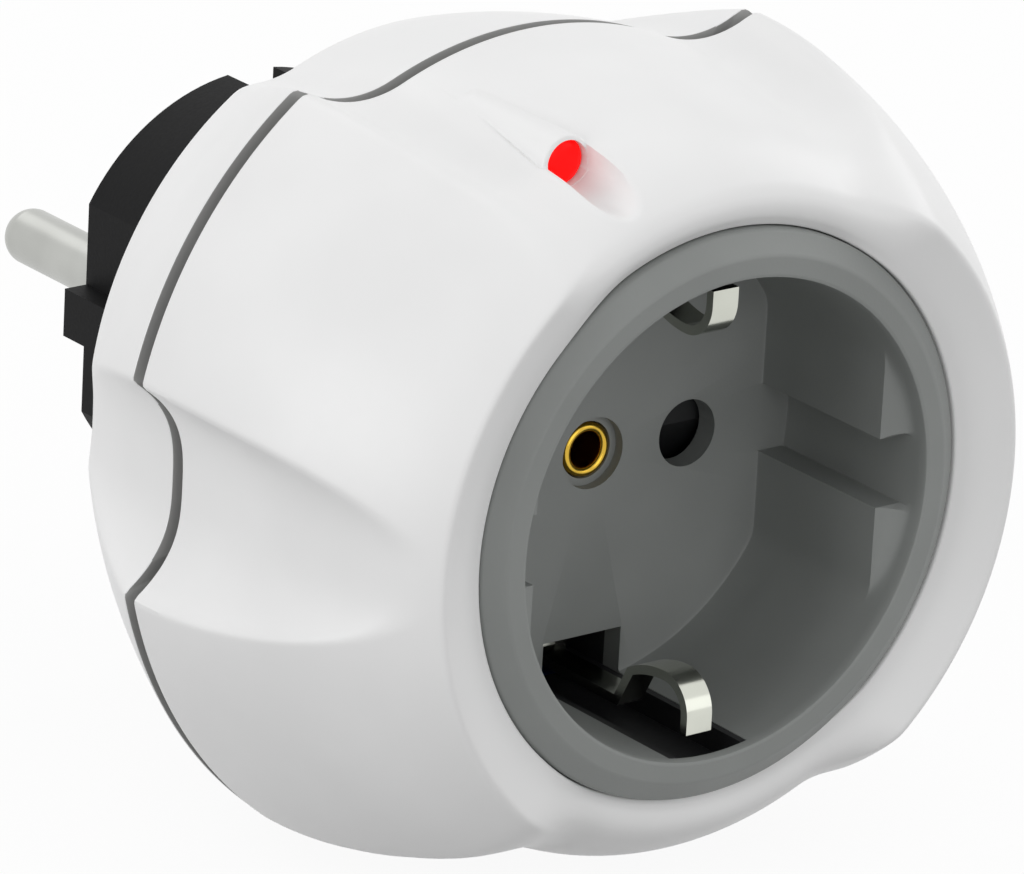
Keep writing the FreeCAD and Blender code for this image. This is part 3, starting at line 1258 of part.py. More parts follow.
def varistor(name, x_unit, z_unit):
    """A disc on its edge, with its face towards the middle and two leads in the board."""
    reach = S["varistor_reach"]
    t = S["varistor_thickness"]
    middle_depth = board_front - S["varistor_lift"] - S["varistor_radius"]
    parts = []
    if x_unit:
        low = both(x_unit, reach) - t / 2
        parts.append(cross_rod(name + "_disc", S["varistor_radius"], t, low, middle_depth, 0, ALONG_X))
    else:
        low = both(z_unit, reach) - t / 2
        parts.append(cross_rod(name + "_disc", S["varistor_radius"], t, 0, middle_depth, low, ALONG_Z))
    for i, sign in enumerate(SIDES):
        along = Size(3.75 * sign)
        step = Size(0.8 * sign)
        x = both(x_unit, reach) + step if x_unit else along
        z = along if x_unit else both(z_unit, reach) + step
        parts.append(lead(f"{name}_lead_{i + 1}", x, z, board_front - S["varistor_lift"] - 2.5))
        LEAD_HOLES.append((x, z))
    return node(fuse(name, *parts), name)


varistor("varistor_right", 1, 0)
varistor("varistor_left", -1, 0)
varistor("varistor_lower", 0, -1)
upright("gas_discharge_tube", S["tube_radius"], S["tube_length"], -S["side_part_x"], -S["side_part_z"])
upright("line_fuse", S["fuse_radius"], S["fuse_length"], S["side_part_x"], -S["side_part_z"])
upright("lamp_resistor", S["resistor_radius"], S["resistor_length"], S["resistor_x"], S["resistor_z"])
upright("lamp_diode", S["diode_radius"], S["diode_length"], -S["diode_x"], S["diode_z"])

thermal_depth = board_front - S["thermal_lift"]
thermal_start = S["thermal_x"] - S["thermal_length"] / 2
thermal_parts = [cross_rod("thermal_body", S["thermal_radius"], S["thermal_length"], thermal_start, thermal_depth,
                           S["thermal_z"], ALONG_X),
                 cross_rod("thermal_wire", S["lead_radius"], S["thermal_length"] + 3, thermal_start - 1.5,
                           thermal_depth, S["thermal_z"], ALONG_X)]
for i, x in enumerate((thermal_start - 1.5, thermal_start + S["thermal_length"] + 1.5)):
    thermal_parts.append(lead(f"thermal_lead_{i + 1}", x, S["thermal_z"], thermal_depth))
    LEAD_HOLES.append((x, S["thermal_z"]))
node(fuse("thermal_fuse", *thermal_parts), "thermal_fuse")

lamp_solid = fuse("lamp_solid",
                  rod("lamp_body", S["lamp_radius"], S["lamp_depth"], lamp_rear, x_lamp, z_lamp),
                  rod("lamp_flange", S["lamp_flange_radius"], lamp_rear - S["lamp_flange_thickness"], lamp_rear, x_lamp,
                      z_lamp))
lamp_leads = []
for i, sign in enumerate(SIDES):
    x = x_lamp + both(sign, S["lamp_lead_spacing"] / 2)
    lamp_leads.append(rod(f"lamp_lead_{i + 1}_front", S["lead_radius"], lamp_rear - 0.3, turn_depth, x, z_lamp))
    drop = z_lamp - S["lamp_lead_z"]
    lamp_leads.append(cross_rod(f"lamp_lead_{i + 1}_drop", S["lead_radius"], drop, x, turn_depth, S["lamp_lead_z"],
                                ALONG_Z))
    lamp_leads.append(lead(f"lamp_lead_{i + 1}_rear", x, S["lamp_lead_z"], turn_depth))
    LEAD_HOLES.append((x, S["lamp_lead_z"]))
node(fuse("indicator_lamp", lamp_solid, *lamp_leads), "indicator_lamp")

board_tools = []
for i, (x, z) in enumerate(LEAD_HOLES):
    board_tools.append(rod(f"lead_hole_{i + 1}", S["lead_radius"] + 0.1, board_front - 1, board_back + 1, x, z))
for i, (x, z) in enumerate(CORNERS):
    board_tools.append(rod(f"post_notch_{i + 1}", S["post_radius"] + 0.5, board_front - 1, board_back + 1,
                           both(x, post), both(z, post)))
for i, (x, z) in enumerate(BOARD_SCREWS):
    board_tools.append(rod(f"board_screw_hole_{i + 1}", S["small_screw_radius"] + S["screw_free"], board_front - 1,
                           board_back + 1, both(x, S["fixing_x"]), both(z, S["fixing_z"])))
for sign in SIDES:
    tag = "lr"[sign > 0]
    x = both(sign, pin_x)
    board_tools.append(rod(f"pin_relief_{tag}", S["pin_radius"] + 0.6, board_front - 1, board_back + 1, x))
    board_tools.append(block(f"tail_slot_{tag}", (x - S["tail_width"] / 2 - 0.2, x + S["tail_width"] / 2 + 0.2),
                             (board_front - 1, board_back + 1), (tail_z - S["tail_thickness"] - 0.2, tail_z + 0.2)))
    board_tools.append(block(f"bridge_slot_{tag}", middle_span(prong_out * 2 + 0.6), (board_front - 1, board_back + 1),
                             span(sign, arm_in - 0.3, arm_out + 0.3)))
node(cut("circuit_board", rod("board_round", S["board_radius"], board_front, board_back), *board_tools), "circuit_board")


# Screws

def screw(name, radius, tip, head_start, head_radius, head_height, x, z):
    """A screw along Y: its point, its shank and a flat head with a square drive."""
    point = doc.addObject("Part::Cone", name + "_point")
    bind(point, "Radius1", as_size(radius) * 0.35)
    bind(point, "Radius2", radius)
    bind(point, "Height", as_size(radius))
    place(point, x, tip, z, ALONG_Y)
    solid = fuse(name + "_solid", point,
                 rod(name + "_shank", radius, as_size(tip) + radius, as_size(head_start) + 0.2, x, z),
                 rod(name + "_head", head_radius, head_start, as_size(head_start) + head_height, x, z))
    half = S["drive_width"] / 2
    drive = block(name + "_drive", (as_size(x) - half, as_size(x) + half),
                  (as_size(head_start) + head_height - S["drive_depth"], as_size(head_start) + head_height + 1),
                  (as_size(z) - half, as_size(z) + half))
    return cut(name, solid, drive)


node(group("housing_screws", *[
    screw(f"housing_screw_{i + 1}", S["screw_radius"], screw_tip, head_floor, S["screw_head_radius"], S["screw_head"],
          both(x, post), both(z, post)) for i, (x, z) in enumerate(CORNERS)]), "housing_screws")
node(group("carrier_screws", *[
    screw(f"carrier_screw_{i + 1}", S["small_screw_radius"], floor_back - S["carrier_screw_bite"], screw_floor,
          S["small_head_radius"], S["small_head"], both(x, S["fixing_x"]), both(z, S["fixing_z"]))
    for i, (x, z) in enumerate(CARRIER_SCREWS)]), "carrier_screws")
node(group("board_screws", *[
    screw(f"board_screw_{i + 1}", S["small_screw_radius"], board_front - S["board_screw_bite"], board_back,
          S["small_head_radius"], S["small_head"], both(x, S["fixing_x"]), both(z, S["fixing_z"]))
    for i, (x, z) in enumerate(BOARD_SCREWS)]), "board_screws")


# Build and write

doc.recompute()
for thing in doc.Objects:
    if "Invalid" in thing.State or "Error" in thing.State:
        raise RuntimeError(f"{thing.Label}: {thing.State}")
os.makedirs("parts", exist_ok=True)
for thing in NODES:
    shape = thing.Shape
    if shape.isNull() or not shape.isValid() or not shape.Solids:
        raise RuntimeError(f"{thing.Label} has no valid solid")
    shape.exportStep(f"parts/{thing.Label}.step")
    box = shape.BoundBox
    print(thing.Label, len(shape.Solids), round(shape.Volume, 1),
          [round(v, 2) for v in (box.XMin, box.XMax, box.YMin, box.YMax, box.ZMin, box.ZMax)])
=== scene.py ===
# %% [markdown]
# # A surge protector adapter for a wall socket
# This notebook dresses a finished mechanical model in its real surfaces. The model comes in as fixed
# meshes in metres: +X is right seen from the front, +Y goes into the wall and +Z is up. The origin is
# the middle of the plug's rear face. Each step says what the real thing is, how it could be made in
# Blender, and why it is made this way here.

# %% Load the model
import math

import bmesh
import bpy
import numpy as np
from mathutils import Matrix, Vector


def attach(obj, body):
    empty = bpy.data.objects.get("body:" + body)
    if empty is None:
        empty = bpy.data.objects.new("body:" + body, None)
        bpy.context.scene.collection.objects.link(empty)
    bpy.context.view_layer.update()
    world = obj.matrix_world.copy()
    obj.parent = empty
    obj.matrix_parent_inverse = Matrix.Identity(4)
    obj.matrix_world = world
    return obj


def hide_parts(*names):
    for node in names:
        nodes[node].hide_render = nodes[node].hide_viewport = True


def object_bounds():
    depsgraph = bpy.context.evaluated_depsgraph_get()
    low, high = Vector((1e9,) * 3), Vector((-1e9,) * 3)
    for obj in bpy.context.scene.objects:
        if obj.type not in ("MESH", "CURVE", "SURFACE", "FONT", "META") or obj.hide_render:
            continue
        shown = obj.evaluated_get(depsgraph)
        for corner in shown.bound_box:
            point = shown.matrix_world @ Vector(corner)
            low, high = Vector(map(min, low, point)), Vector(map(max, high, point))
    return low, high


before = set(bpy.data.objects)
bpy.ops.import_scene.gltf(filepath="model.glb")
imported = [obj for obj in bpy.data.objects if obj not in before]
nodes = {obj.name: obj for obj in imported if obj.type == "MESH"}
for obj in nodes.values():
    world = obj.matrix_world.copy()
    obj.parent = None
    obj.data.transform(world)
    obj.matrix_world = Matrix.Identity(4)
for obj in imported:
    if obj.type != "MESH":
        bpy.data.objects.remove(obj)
cad_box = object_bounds()
MM = 0.001
BODY_DEPTH = 65.4
print("pieces in the model:", len(nodes))

# %% [markdown]
# ## Where the camera stands
# The picture was taken from the left and a little above with a long lens, so the far side of the part
# is hardly smaller than the near side. A camera can be aimed with a Track To constraint, but three unit
# vectors say its direction exactly, and a matrix takes them as its columns.

# %% Camera
PLACE = Vector((-0.414444, -0.564204, 0.243767))
RIGHT = Vector((0.79634, -0.60267, 0.05122))
UP = Vector((0.16970, 0.30391, 0.93747))
AHEAD = Vector((0.58055, 0.73785, -0.34429))

camera_data = bpy.data.cameras.new("camera")
camera_data.sensor_width = 36.0
camera_data.lens = 313.2
camera_data.clip_start = 0.01
camera = bpy.data.objects.new("camera", camera_data)
bpy.context.scene.collection.objects.link(camera)
columns = Matrix((RIGHT, UP, -AHEAD)).transposed().to_4x4()
camera.matrix_world = Matrix.Translation(PLACE) @ columns
bpy.context.scene.camera = camera
print("camera stands", round(PLACE.length * 1000), "mm from the plug's rear face")

# %% [markdown]
# ## Colours and a node helper
# Colours are picked in sRGB, as on a paint card, but shaders work on linear light. One function turns a
# hex value into linear light. A second adds a node to a tree with its settings and its links, so that a
# material reads as a short list of steps.


# %% Helpers for materials
def linear(hex_value, alpha=1.0):
    """An sRGB hex colour as linear light."""
    parts = [int(hex_value[i:i + 2], 16) / 255 for i in (1, 3, 5)]
    light = [c / 12.92 if c <= 0.04045 else ((c + 0.055) / 1.055) ** 2.4 for c in parts]
    return (*light, alpha)


def add_node(tree, kind, inputs=(), **settings):
    """Add a node, set its properties, then fill its inputs with values or link them to sockets."""
    node = tree.nodes.new(kind)
    for name, value in settings.items():
        setattr(node, name, value)
    for name, value in dict(inputs).items():
        if isinstance(value, bpy.types.NodeSocket):
            tree.links.new(value, node.inputs[name])
        else:
            node.inputs[name].default_value = value
    return node


def per_mm(size):
    """The texture scale whose pattern repeats about every size millimetres, in a scene in metres."""
    return 1.0 / (size * MM)


def new_material(name):
    """A material with a Principled shader, and Object coordinates to draw patterns on."""
    material = bpy.data.materials.new(name)
    material.use_nodes = True
    tree = material.node_tree
    shader = tree.nodes["Principled BSDF"]
    coords = add_node(tree, "ShaderNodeTexCoord").outputs["Object"]
    return material, tree, shader, coords


def moulded_plastic(name, colour, shade, roughness, grain, depth, ior=1.53, gloss=0.5):
    """Injection-moulded plastic: its colour drifts slightly, and its surface has the tool's grain."""
    material, tree, shader, coords = new_material(name)
    drift = add_node(tree, "ShaderNodeTexNoise", {"Vector": coords, "Scale": per_mm(14.0), "Detail": 2.0})
    ramp = add_node(tree, "ShaderNodeValToRGB", {"Fac": drift.outputs["Fac"]})
    ramp.color_ramp.elements[0].position = 0.35
    ramp.color_ramp.elements[0].color = linear(shade)
    ramp.color_ramp.elements[1].position = 0.65
    ramp.color_ramp.elements[1].color = linear(colour)
    fine = add_node(tree, "ShaderNodeTexNoise", {"Vector": coords, "Scale": per_mm(grain), "Detail": 3.0})
    bump = add_node(tree, "ShaderNodeBump",
                    {"Height": fine.outputs["Fac"], "Strength": 1.0, "Distance": depth * MM})
    rough = add_node(tree, "ShaderNodeMapRange", {"Value": fine.outputs["Fac"], "To Min": roughness - 0.06,
                                                  "To Max": roughness + 0.06})
    tree.links.new(ramp.outputs["Color"], shader.inputs["Base Color"])
    tree.links.new(rough.outputs["Result"], shader.inputs["Roughness"])
    tree.links.new(bump.outputs["Normal"], shader.inputs["Normal"])
    shader.inputs["IOR"].default_value = ior
    shader.inputs["Specular IOR Level"].default_value = gloss
    return material


def plated_metal(name, colour, shade, roughness, line, stretch, depth):
    """Metal with fine lines left by turning or stamping: stretch shrinks the pattern along each axis."""
    material, tree, shader, coords = new_material(name)
    pulled = add_node(tree, "ShaderNodeMapping", {"Vector": coords, "Scale": stretch})
    lines = add_node(tree, "ShaderNodeTexNoise",
                     {"Vector": pulled.outputs["Vector"], "Scale": per_mm(line), "Detail": 4.0})
    tint = add_node(tree, "ShaderNodeTexNoise", {"Vector": coords, "Scale": per_mm(6.0), "Detail": 2.0})
    ramp = add_node(tree, "ShaderNodeValToRGB", {"Fac": tint.outputs["Fac"]})
    ramp.color_ramp.elements[0].position = 0.3
    ramp.color_ramp.elements[0].color = linear(shade)
    ramp.color_ramp.elements[1].position = 0.7
    ramp.color_ramp.elements[1].color = linear(colour)
    rough = add_node(tree, "ShaderNodeMapRange", {"Value": lines.outputs["Fac"], "To Min": roughness - 0.08,
                                                  "To Max": roughness + 0.08})
    bump = add_node(tree, "ShaderNodeBump",
                    {"Height": lines.outputs["Fac"], "Strength": 1.0, "Distance": depth * MM})
    tree.links.new(ramp.outputs["Color"], shader.inputs["Base Color"])
    tree.links.new(rough.outputs["Result"], shader.inputs["Roughness"])
    tree.links.new(bump.outputs["Normal"], shader.inputs["Normal"])
    shader.inputs["Metallic"].default_value = 1.0
    return material


def dress(material, *names):
    """Give CAD nodes a material, and leave their meshes as they came."""
    for name in names:
        mesh = nodes[name].data
        mesh.materials.clear()
        mesh.materials.append(material)


# %% [markdown]
# ## The plastics
# The housing is moulded in white ABS blend from a polished tool, so it is smooth with a soft gloss. The
# socket insert and the plug body are moulded from spark-eroded tools, which leave a matt grain of about
# a tenth of a millimetre. That is too fine to show here, so it is drawn about three times as coarse.

# %% Plastics
HOUSING_WHITE = moulded_plastic("satin_white_abs", "#F5F5F5", "#F1F1F1", 0.36, 0.9, 0.004)
INSERT_GREY = moulded_plastic("matt_grey_polycarbonate", "#8D908E", "#858886", 0.5, 0.3, 0.012, ior=1.58)
PLUG_BLACK = moulded_plastic("matt_black_polyamide", "#111112", "#0D0D0E", 0.6, 0.32, 0.014, gloss=0.14)
SHUTTER_BLACK = moulded_plastic("plain_black_acetal", "#1C1D1E", "#191A1B", 0.42, 0.5, 0.006, ior=1.48)
CARRIER_BLACK = moulded_plastic("glass_filled_black_polyamide", "#232325", "#1E1E20", 0.45, 0.5, 0.01)
# The grey on the faces that line the seam is painted shade: it darkens the gap between the white shells, where
# shade falls.
SEAM_SHADE_GREY = moulded_plastic("grey_inner_lip_abs", "#AFAFAE", "#A7A7A6", 0.5, 0.9, 0.004)
dress(HOUSING_WHITE, "front_shell", "rear_shell")
dress(INSERT_GREY, "socket_insert")
dress(PLUG_BLACK, "plug_body")
dress(SHUTTER_BLACK, "shutter")
dress(CARRIER_BLACK, "contact_carrier", "clip_cradle_upper", "clip_cradle_lower")

# %% [markdown]
# ## The metals
# Plug pins are turned from brass rod and nickel plated, so faint rings run round them. The clips and
# the bridge are stamped strip with the same plating. The bush and the contacts stay bare brass.

# %% Metals
RINGS = (0.02, 1.0, 0.02)
STRIP = (0.05, 1.0, 1.0)
NICKEL_TURNED = plated_metal("nickel_plated_turned_brass", "#BFC0BC", "#B3B4B0",
                             0.32, 0.22, (1.0, 30.0, 1.0), 0.002)
NICKEL_STRIP = plated_metal("nickel_plated_stamped_strip", "#D3D5CB", "#C6C8BE",
                            0.16, 0.3, (8.0, 0.6, 0.6), 0.002)
BRASS = plated_metal("bare_stamped_brass", "#D8B54A", "#CCA53D", 0.16, 0.3, (1.0, 6.0, 1.0), 0.002)
SPRING_STEEL = plated_metal("drawn_spring_steel", "#A9AAAC", "#98999B", 0.3, 0.2, (1.0, 1.0, 1.0), 0.001)
ZINC_STEEL = plated_metal("zinc_plated_steel", "#C3C7CA", "#B3B8BC", 0.34, 0.4, (1.0, 1.0, 1.0), 0.003)
dress(NICKEL_TURNED, "line_pin", "neutral_pin")
dress(NICKEL_STRIP, "earth_clip_upper", "earth_clip_lower", "earth_bridge", "plug_earth_strip_upper",
      "plug_earth_strip_lower")
dress(BRASS, "centre_bush", "line_contact", "neutral_contact", "line_busbar", "neutral_busbar")
dress(SPRING_STEEL, "shutter_spring")
dress(ZINC_STEEL, "housing_screws", "carrier_screws", "board_screws")

# %% [markdown]
# ## The parts on the board
# They are sealed in and hardly show, but a reader who opens the model should know them by colour: blue
# dipped varistors, pale ceramic tubes, a tan resistor, a black diode and a green board.

# %% Board parts
BOARD_GREEN = moulded_plastic("solder_masked_glass_epoxy", "#1E6B3C", "#185C33", 0.3, 0.6, 0.006, ior=1.55)
VARISTOR_BLUE = moulded_plastic("dipped_blue_epoxy", "#2A55A8", "#234993", 0.34, 1.1, 0.03, ior=1.55)
CERAMIC = moulded_plastic("unglazed_white_ceramic", "#E6E2D8", "#DAD5C9", 0.55, 0.4, 0.008, ior=1.6)
RESISTOR_TAN = moulded_plastic("lacquered_carbon_film", "#C9A878", "#BC9A6A", 0.35, 0.8, 0.01, ior=1.5)
DIODE_BLACK = moulded_plastic("moulded_black_epoxy", "#202022", "#1A1A1C", 0.4, 0.4, 0.008, ior=1.55)
dress(BOARD_GREEN, "circuit_board")
dress(VARISTOR_BLUE, "varistor_right", "varistor_left", "varistor_lower")
dress(CERAMIC, "gas_discharge_tube", "line_fuse", "thermal_fuse")
dress(RESISTOR_TAN, "lamp_resistor")
dress(DIODE_BLACK, "lamp_diode")

# %% [markdown]
# ## The lamp
# The lens is red epoxy with a light behind it. A light of its own could stand behind clear plastic, but a
# glowing surface is plainer. A real lamp tints its groove more than this one may, so the lens gives off
# less light to the plastic round it than it shows to the camera.

# %% Lamp
LAMP_SEEN = 0.95
LAMP_THROWN = 0.35
lamp_material, tree, shader, _ = new_material("clear_red_epoxy_lens")
shader.inputs["Base Color"].default_value = linear("#8C0A0C")
shader.inputs["Roughness"].default_value = 0.2
shader.inputs["Specular IOR Level"].default_value = 0.1
shader.inputs["Emission Color"].default_value = linear("#FF0806")
path = add_node(tree, "ShaderNodeLightPath")
glow = add_node(tree, "ShaderNodeMapRange", {"Value": path.outputs["Is Diffuse Ray"], "To Min": LAMP_SEEN,
                                             "To Max": LAMP_THROWN})
tree.links.new(glow.outputs["Result"], shader.inputs["Emission Strength"])
dress(lamp_material, "indicator_lamp")

# %% [markdown]
# ## Profiles of the housing
# The real housing is a pair of injection-moulded shells, and its shape is a body of revolution that was
# carved: four pads stand proud, a recess runs over the top and the bottom, and a finger scoop is pressed
# into each side. Two circular arcs that touch make the profile of each zone. The same could be drawn as
# Bezier curves, but arcs can be worked out from the sizes and answer at once how far a point is from them.

# %% Arcs worked out from the sizes, as radius and depth in millimetres
LIP = (23.54, 1.6)
CREST = (28.3, -0.86)
BROW = (26.0, 1.0)
SHOULDER = (30.33, 8.0)
CROWN = 28.5
CORE = 32.57
PAD = 37.9
SPLIT = 27.72
REAR_EDGE = 29.12
RIM = 44.4
WALL = 2.4
SHELF = 4.2


def crown_arc(point, widest):
    """Middle and radius of the arc from a point that ends parallel to the axis at the crown."""
    across = widest - point[0]
    along = CROWN - point[1]
    bow = (across * across + along * along) / (2 * across)
    return (widest - bow, CROWN), bow


def touching_arc(point, joint, middle, bow):
    """The arc through a point that touches another arc at their joint."""
    normal = ((joint[0] - middle[0]) / bow, (joint[1] - middle[1]) / bow)
    across = joint[0] - point[0]
    along = joint[1] - point[1]
    own = (across * across + along * along) / (2 * (normal[0] * across + normal[1] * along))
    return (joint[0] - own * normal[0], joint[1] - own * normal[1]), own


def chord_arc(start, end, bow):
    """Middle of an arc of a known radius between two points, on the side of the axis."""
    half_r = (end[0] - start[0]) / 2
    half_d = (end[1] - start[1]) / 2
    reach = math.sqrt(bow * bow / (half_r * half_r + half_d * half_d) - 1)
    return (start[0] + half_r - half_d * reach, start[1] + half_d + half_r * reach), bow


SIDE, SIDE_BOW = crown_arc(SHOULDER, CORE)
DOME, DOME_BOW = touching_arc(BROW, SHOULDER, SIDE, SIDE_BOW)
NOSE, NOSE_BOW = touching_arc(LIP, BROW, DOME, DOME_BOW)
PAD_ARC, PAD_BOW = crown_arc(CREST, PAD)
REAR_CORE, REAR_CORE_BOW = chord_arc((CORE - 0.14, REAR_EDGE), (CORE - 4.1, RIM), 70.0)
REAR_PAD, REAR_PAD_BOW = chord_arc((PAD - 0.1, REAR_EDGE), (PAD - 7.8, RIM), 71.0)
print("radii of the front profile:", [round(bow, 2) for bow in (NOSE_BOW, DOME_BOW, SIDE_BOW, PAD_BOW)])

# %% [markdown]
# ## Fields
# A field is a function that is negative inside the plastic, zero on its skin and positive outside. Where
# two carved surfaces meet, the larger of their fields gives a sharp edge, and a smooth maximum gives the
# round that a mould maker would cut. A bevel after a boolean would need clean edges all the way; a field
# gives the same rounds everywhere, even where a scoop runs out to nothing.


# %% Fields of the shells
def smooth_max(a, b, k):
    """The larger of two fields, with their edge rounded over a width k."""
    mix = np.clip(0.5 + 0.5 * (a - b) / k, 0, 1)
    return b + (a - b) * mix + k * mix * (1 - mix)


def smooth_min(a, b, k):
    return -smooth_max(-a, -b, k)


def ease(low, high, value):
    """A smooth step from 0 to 1."""
    t = np.clip((value - low) / (high - low), 0, 1)
    return t * t * (3 - 2 * t)


def off_arc(r, d, middle, bow):
    return np.hypot(r - middle[0], d - middle[1]) - bow


def front_core(r, d):
    """Distance from the core's profile: nose, dome or side, by the direction from the dome's middle."""
    turn = np.arctan2(d - DOME[1], r - DOME[0])
    brow = math.atan2(BROW[1] - DOME[1], BROW[0] - DOME[0])
    shoulder = math.atan2(SHOULDER[1] - DOME[1], SHOULDER[0] - DOME[0])
    side = np.where(d > CROWN, r - CORE, off_arc(r, d, SIDE, SIDE_BOW))
    dome = np.where(turn < shoulder, off_arc(r, d, DOME, DOME_BOW), side)
    return np.where(turn < brow, off_arc(r, d, NOSE, NOSE_BOW), dome)


def front_pad(r, d):
    """The pads, with a straight slope from their crest down to the collar."""
    bow = np.where(d > CROWN, r - PAD, off_arc(r, d, PAD_ARC, PAD_BOW))
    slope = (CREST[0] - r) * math.sin(SLOPE) - (d - CREST[1]) * math.cos(SLOPE)
    return smooth_max(bow, slope, CREST_ROUND)


def rear_core(r, d):
    return off_arc(r, d, REAR_CORE, REAR_CORE_BOW)


def rear_pad(r, d):
    return off_arc(r, d, REAR_PAD, REAR_PAD_BOW)


RECESS_HALF = math.radians(23.4)
RECESS_BLEND = 10.0
CREST_ROUND = 0.45
SLOPE = math.radians(22.25)


def recess(core, r, d, turn):
    """The recess over the top and bottom: the core's profile, then a hollow blend up to the pads."""
    beyond = np.arctan2(np.abs(np.cos(turn)), np.abs(np.sin(turn))) - RECESS_HALF
    aside = np.maximum(r * np.sin(beyond), 0)
    near = core(r * np.cos(np.maximum(beyond, 0)), d)
    return RECESS_BLEND - np.hypot(near - RECESS_BLEND, aside)


SCOOP_FLOOR = 32.6
SCOOP_FLANK = 0.00615


def front_scoop_floor(d):
    """The scoop's floor falls slowly at first and faster towards the front."""
    ahead = np.maximum(SPLIT - d, 0)
    return SCOOP_FLOOR - 0.00153 * ahead ** 2 - 3.72e-6 * ahead ** 4, 0.003 * ahead + 1.5e-5 * ahead ** 3


def rear_scoop_floor(d):
    """Behind the gap the floor bends down to the rim on an arc."""
    bow = 38.0
    behind = np.clip(d - 30.0, 0, bow * 0.9)
    drop = bow - np.sqrt(bow * bow - behind * behind)
    return SCOOP_FLOOR - 0.1 - drop, behind / np.sqrt(bow * bow - behind * behind)


def scoop(r, d, turn, floor):
    """A trough along the side: nearly flat in the middle, with flanks that steepen as a cube."""
    x = np.abs(r * np.cos(turn))
    z = np.abs(r * np.sin(turn))
    level, slope = floor(d)
    flank = 3 * SCOOP_FLANK * z * z
    return (x - level - SCOOP_FLANK * z ** 3) / np.sqrt(1 + flank * flank + slope * slope)


LAMP_ANGLE = math.radians(20.0)
LAMP_REACH = 29.86
HOOD_FRONT = 9.9
HOOD_LENGTH = 12.0
HOOD_RADIUS = 2.26
HOOD_THINNING = 0.05
HOOD_RISE = 0.09
CREASE_RADIUS = 0.42
CREASE_LEAN = 64.0
CREASE_TURN = 2.4
GROOVE = 1.92
LENS = 1.9
LAMP_BOSS = 2.9
GROOVE_FALL = math.tan(math.radians(3.0))
LAMP_OUT = (-math.sin(LAMP_ANGLE), math.cos(LAMP_ANGLE))
LAMP_ACROSS = (math.cos(LAMP_ANGLE), math.sin(LAMP_ANGLE))


def lamp_place(r, turn):
    """Across and outward distance from the lamp's axis."""
    x = r * np.cos(turn)
    z = r * np.sin(turn)
    return x * LAMP_ACROSS[0] + z * LAMP_ACROSS[1], x * LAMP_OUT[0] + z * LAMP_OUT[1] - LAMP_REACH


def front_field(r, d, turn):
    """The front shell's outside: the lamp's hood stands on it with a crease along its left side, and the
    groove is cut in front."""
    edge = 0.75 + 1.5 * (1 - ease(1.0, 9.0, d))
    f = smooth_max(front_pad(r, d), recess(front_core, r, d, turn), edge)
    f = smooth_max(f, scoop(r, d, turn, front_scoop_floor), 0.4)
    across, out = lamp_place(r, turn)
    behind = d - HOOD_FRONT
    axis = HOOD_RISE * behind
    bow = HOOD_RADIUS - HOOD_THINNING * behind
    lean = np.radians(CREASE_LEAN - CREASE_TURN * behind)
    crease = np.hypot(across + bow * np.sin(lean), out - axis - bow * np.cos(lean))
    width = CREASE_RADIUS * (1 - ease(0.0, HOOD_LENGTH, behind)) * ease(-0.6, 0.4, behind)
    f = smooth_max(f, width - crease, 0.15)
    hood = np.hypot(across, out - axis) - bow
    hood = smooth_max(hood, -behind, 0.3)
    hood = smooth_max(hood, behind - HOOD_LENGTH, 0.8)
    f = smooth_min(f, hood, 0.2)
    below = out - behind * GROOVE_FALL
    groove = np.where(below > 0, np.abs(across), np.hypot(across, below)) - GROOVE
    groove = np.maximum(groove, behind)
    return smooth_max(f, -groove, 0.3)


def rear_field(r, d, turn):
    f = smooth_max(rear_pad(r, d), recess(rear_core, r, d, turn), 0.75)
    return smooth_max(f, scoop(r, d, turn, rear_scoop_floor), 0.4)


# %% [markdown]
# ## From a field to a mesh
# Marching cubes or a volume remesh would find the skin anywhere, but leave a wobbly net of triangles. The
# shells are nearly round, so a net of rows and columns fits them: each ray starts inside the plastic, and
# thirty-two halvings find where it leaves. The net then flows along the shape, and its highlights are even.


# %% Nets of rows and columns
def find_skin(field, base, aim, turn, level=0.0, low=-3.2, high=9.0):
    """Where rays from base along aim reach a level of the field, for each row and column."""
    near = np.full((len(base), len(turn)), low)
    far = np.full(near.shape, high)
    base_r, base_d = base[:, 0:1], base[:, 1:2]
    aim_r, aim_d = aim[:, 0:1], aim[:, 1:2]
    turns = np.broadcast_to(turn, near.shape)
    for _ in range(32):
        middle = (near + far) / 2
        inside = field(base_r + aim_r * middle, base_d + aim_d * middle, turns) < level
        near = np.where(inside, middle, near)
        far = np.where(inside, far, middle)
    middle = (near + far) / 2
    return base_r + aim_r * middle, base_d + aim_d * middle


def straight_out(count):
    """Rays that point straight away from the axis."""
    return np.array([(1.0, 0.0)] * count)


def run(a, b, count):
    """Even steps from a, that stop short of b."""
    return np.linspace(a, b, count, endpoint=False)


def flat_rows(pairs, columns):
    """Rows of one radius and one depth each."""
    pairs = np.array(pairs, dtype=float)
    ones = np.ones((1, columns))
    return pairs[:, 0:1] * ones, pairs[:, 1:2] * ones


def net_mesh(name, radius, depth, turn):
    """A closed ring-shaped mesh from rows of radius and depth, with its faces outward."""
    rows, columns = radius.shape
    places = np.stack([radius * np.cos(turn), depth - BODY_DEPTH, radius * np.sin(turn)], axis=-1)
    row = np.arange(rows)[:, None]
    column = np.arange(columns)[None, :]
    next_row = (row + 1) % rows
    next_column = (column + 1) % columns
    corners = [row * columns + column, next_row * columns + column, next_row * columns + next_column,
               row * columns + next_column]
    quads = np.stack([np.broadcast_to(c, (rows, columns)) for c in corners], axis=-1).reshape(-1, 4)
    mesh = bpy.data.meshes.new(name)
    mesh.from_pydata((places.reshape(-1, 3) * MM).tolist(), [], quads.tolist())
    face_outward(mesh)
    return mesh


